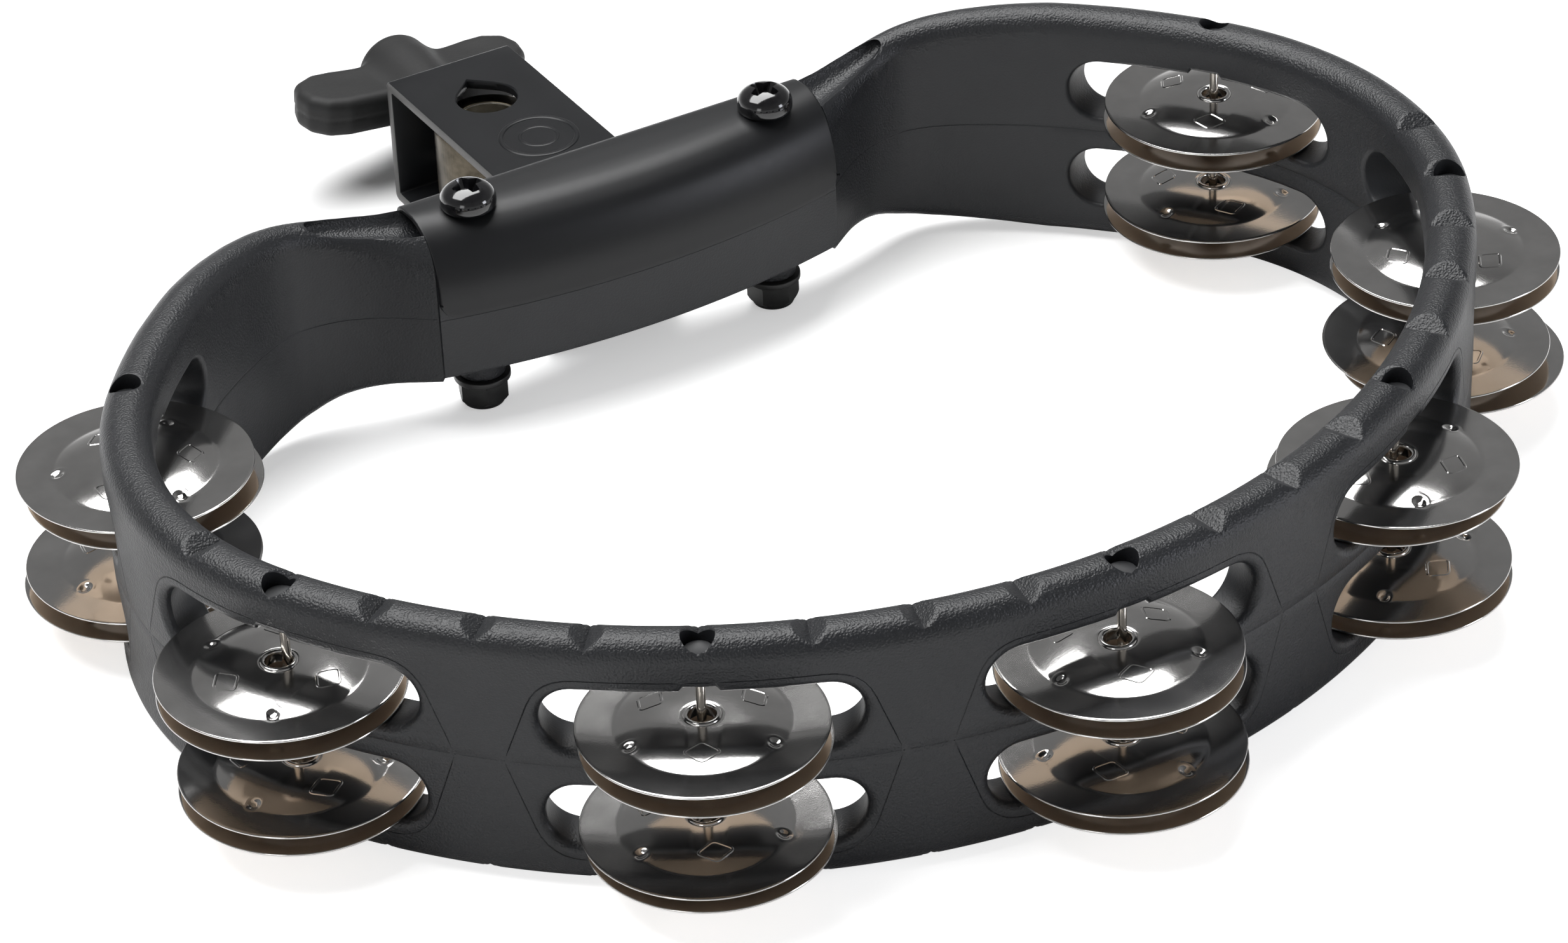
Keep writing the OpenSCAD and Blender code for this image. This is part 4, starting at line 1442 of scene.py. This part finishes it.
# How each loose jingle has come to rest, by (pin, slot, layer)
REST_RIGHT, REST_NEAR = np.array([0.873, -0.488]), np.array([-0.488, -0.873])
SHIFT = {                                    # along REST_RIGHT and REST_NEAR
    (1, "top", "lower"): (1.55, 0), (1, "low", "lower"): (-1.0, 0),
    (2, "top", "upper"): (-1.5, 0.5), (2, "top", "lower"): (-1.3, 0.6),
    (2, "low", "upper"): (0.9, 1.0), (2, "low", "lower"): (0.8, 1.0),
    (3, "top", "lower"): (0.5, 0), (3, "low", "lower"): (0.5, 0),
    (4, "top", "upper"): (-0.9, 1.0), (4, "top", "lower"): (-0.6, 1.3),
    (4, "low", "upper"): (-0.2, 1.55), (4, "low", "lower"): (0.1, 1.55),
    (5, "top", "upper"): (0.7, 0), (5, "top", "lower"): (-1.2, 0),
    (6, "low", "upper"): (-1.6, 0), (6, "low", "lower"): (1.55, 0)}
TURN = {                                     # degrees
    (2, "top", "upper"): 0.8, (2, "low", "upper"): 88, (3, "top", "upper"): 60.8,
    (3, "low", "upper"): 69, (4, "top", "upper"): 75, (4, "low", "upper"): 47}


def add_jingle(number, pin, row, layer):
    key = (number, row, ("lower", "upper")[layer])
    seed = (number - 1) * 10 + (5 if row == "top" else 0) + layer
    # drawn for every jingle, also where the tables overrule them
    rng = np.random.default_rng(1000 + seed)
    free_turn = rng.uniform(0, 120)
    free_shift = (rng.uniform(-0.35, 0.35), rng.uniform(-0.3, 0.3))
    turn = rad(TURN.get(key, free_turn) - 90)
    right, near = SHIFT.get(key, free_shift)
    place = pin + (REST_RIGHT * right + REST_NEAR * near)
    spacing = 3.2 if (number, row) == (3, "low") else 3.95
    base_z = SLOT_Z[row] - SLOT_R + 0.15 + layer * spacing
    (verts, faces), under = jingle(seed)
    x, y, z = np.array(verts).T
    verts = np.stack([x * math.cos(turn) - y * math.sin(turn),
                      x * math.sin(turn) + y * math.cos(turn), z], -1)
    name = f"jingle_{number}_{row}_{key[2]}"
    add_piece(name + "_plate", (verts, faces), name, [JINGLE_NICKEL, UNDERSIDE],
              name, at=(place[0], place[1], base_z), sharp=32, face_materials=under)


for number, pin in enumerate(PINS, 1):
    for row in ("top", "low"):
        for layer in (0, 1):
            add_jingle(number, pin, row, layer)


# ------------------------------------------------------------------ camera, lights, world, floor
def add_camera():
    camera = new_object("camera", bpy.data.cameras.new("camera"))
    azimuth, elevation, roll = rad(-29.209), rad(33.489), rad(-2.562)
    backward = Vector((math.sin(azimuth) * math.cos(elevation),
                       -math.cos(azimuth) * math.cos(elevation), math.sin(elevation)))
    level = Vector((math.cos(azimuth), math.sin(azimuth), 0))
    upright = backward.cross(level)
    right = level * math.cos(roll) + upright * math.sin(roll)
    up = -level * math.sin(roll) + upright * math.cos(roll)
    matrix = Matrix((right, up, backward)).transposed().to_4x4()
    matrix.translation = Vector((-456.0, -943.8, 594.5)) * MM
    camera.matrix_world = matrix
    camera.data.lens = 123.2
    camera.data.sensor_width = 36
    camera.data.clip_start = 0.01
    camera.data.clip_end = 50
    bpy.context.scene.camera = camera


def add_light(name, place, target, width, height, power, colour=(1, 1, 1)):
    light = bpy.data.lights.new(name, "AREA")
    light.energy = power
    light.color = colour
    light.shape = "RECTANGLE"
    light.size = width
    light.size_y = height
    ob = new_object(name, light)
    ob.location = place
    ob.rotation_mode = "QUATERNION"
    ob.rotation_quaternion = (Vector(target) - Vector(place)).to_track_quat("-Z", "Y")


def add_world():
    """Light by direction: the ramp runs over the z of the view direction."""
    world = bpy.data.worlds.new("studio")
    bpy.context.scene.world = world
    nodes = Nodes(world)
    output = nodes.add("OutputWorld")
    background = nodes.add("Background")
    direction = nodes.add("TexCoord").outputs["Generated"]
    split = nodes.add("SeparateXYZ", {0: direction})
    glow = nodes.ramp(split.outputs["Z"], [
        (0.0, 0.95), (0.05, 0.80), (0.16, 0.34), (0.38, 0.22), (0.62, 0.20), (0.76, 0.12),
        (1.0, 0.08)])
    nodes.fill(background, {0: glow, 1: 1.0})
    nodes.fill(output, {0: background.outputs[0]})


def floor_material():
    s = Surface("floor_white")
    place = s.coords()
    s.colour(s.noise(place, scale=6, detail=2, rough=0.5), (0.3, 0.86), (0.7, 0.88))
    s.set({"Roughness": 0.75, "Specular IOR Level": 0.2})
    # towards the front the floor glows for the camera only, which washes its shadows out
    split = s.add("SeparateXYZ", {0: place})
    fade = s.add("MapRange", {"From Min": 0.03, "From Max": -0.12, "To Min": 0.0,
                              "To Max": 0.74, "Value": split.outputs["Y"]})
    rays = s.add("LightPath")
    glow = s.math("MULTIPLY", fade.outputs[0], rays.outputs["Is Camera Ray"])
    s.set({"Emission Color": (1, 1, 1, 1), "Emission Strength": glow})
    return s.material


def add_floor():
    z = float(CAD_LOW.z) - 0.0002
    half = 6
    corners = [(-half, -half, z), (half, -half, z), (half, half, z), (-half, half, z)]
    mesh = bpy.data.meshes.new("floor")
    mesh.from_pydata(corners, [], [(0, 1, 2, 3)])
    mesh.materials.append(floor_material())
    new_object("floor", mesh)


add_camera()
HOOP_MIDDLE = (0, -0.12, 0)
add_light("overhead", place=(-0.10, 0.38, 1.40), target=(0, 0.02, 0), width=1.9, height=0.95,
          power=45)
add_light("front_left", place=(-1.45, -1.15, 0.50), target=HOOP_MIDDLE, width=0.5, height=0.7,
          power=2.6)
add_light("front_right", place=(1.20, -1.45, 0.50), target=HOOP_MIDDLE, width=0.45, height=0.6,
          power=7.5, colour=(0.90, 0.92, 1.0))
add_world()
add_floor()

scene = bpy.context.scene
scene.view_settings.view_transform = "Standard"
scene.view_settings.look = "None"
scene.cycles.max_bounces = 16
scene.cycles.glossy_bounces = 12
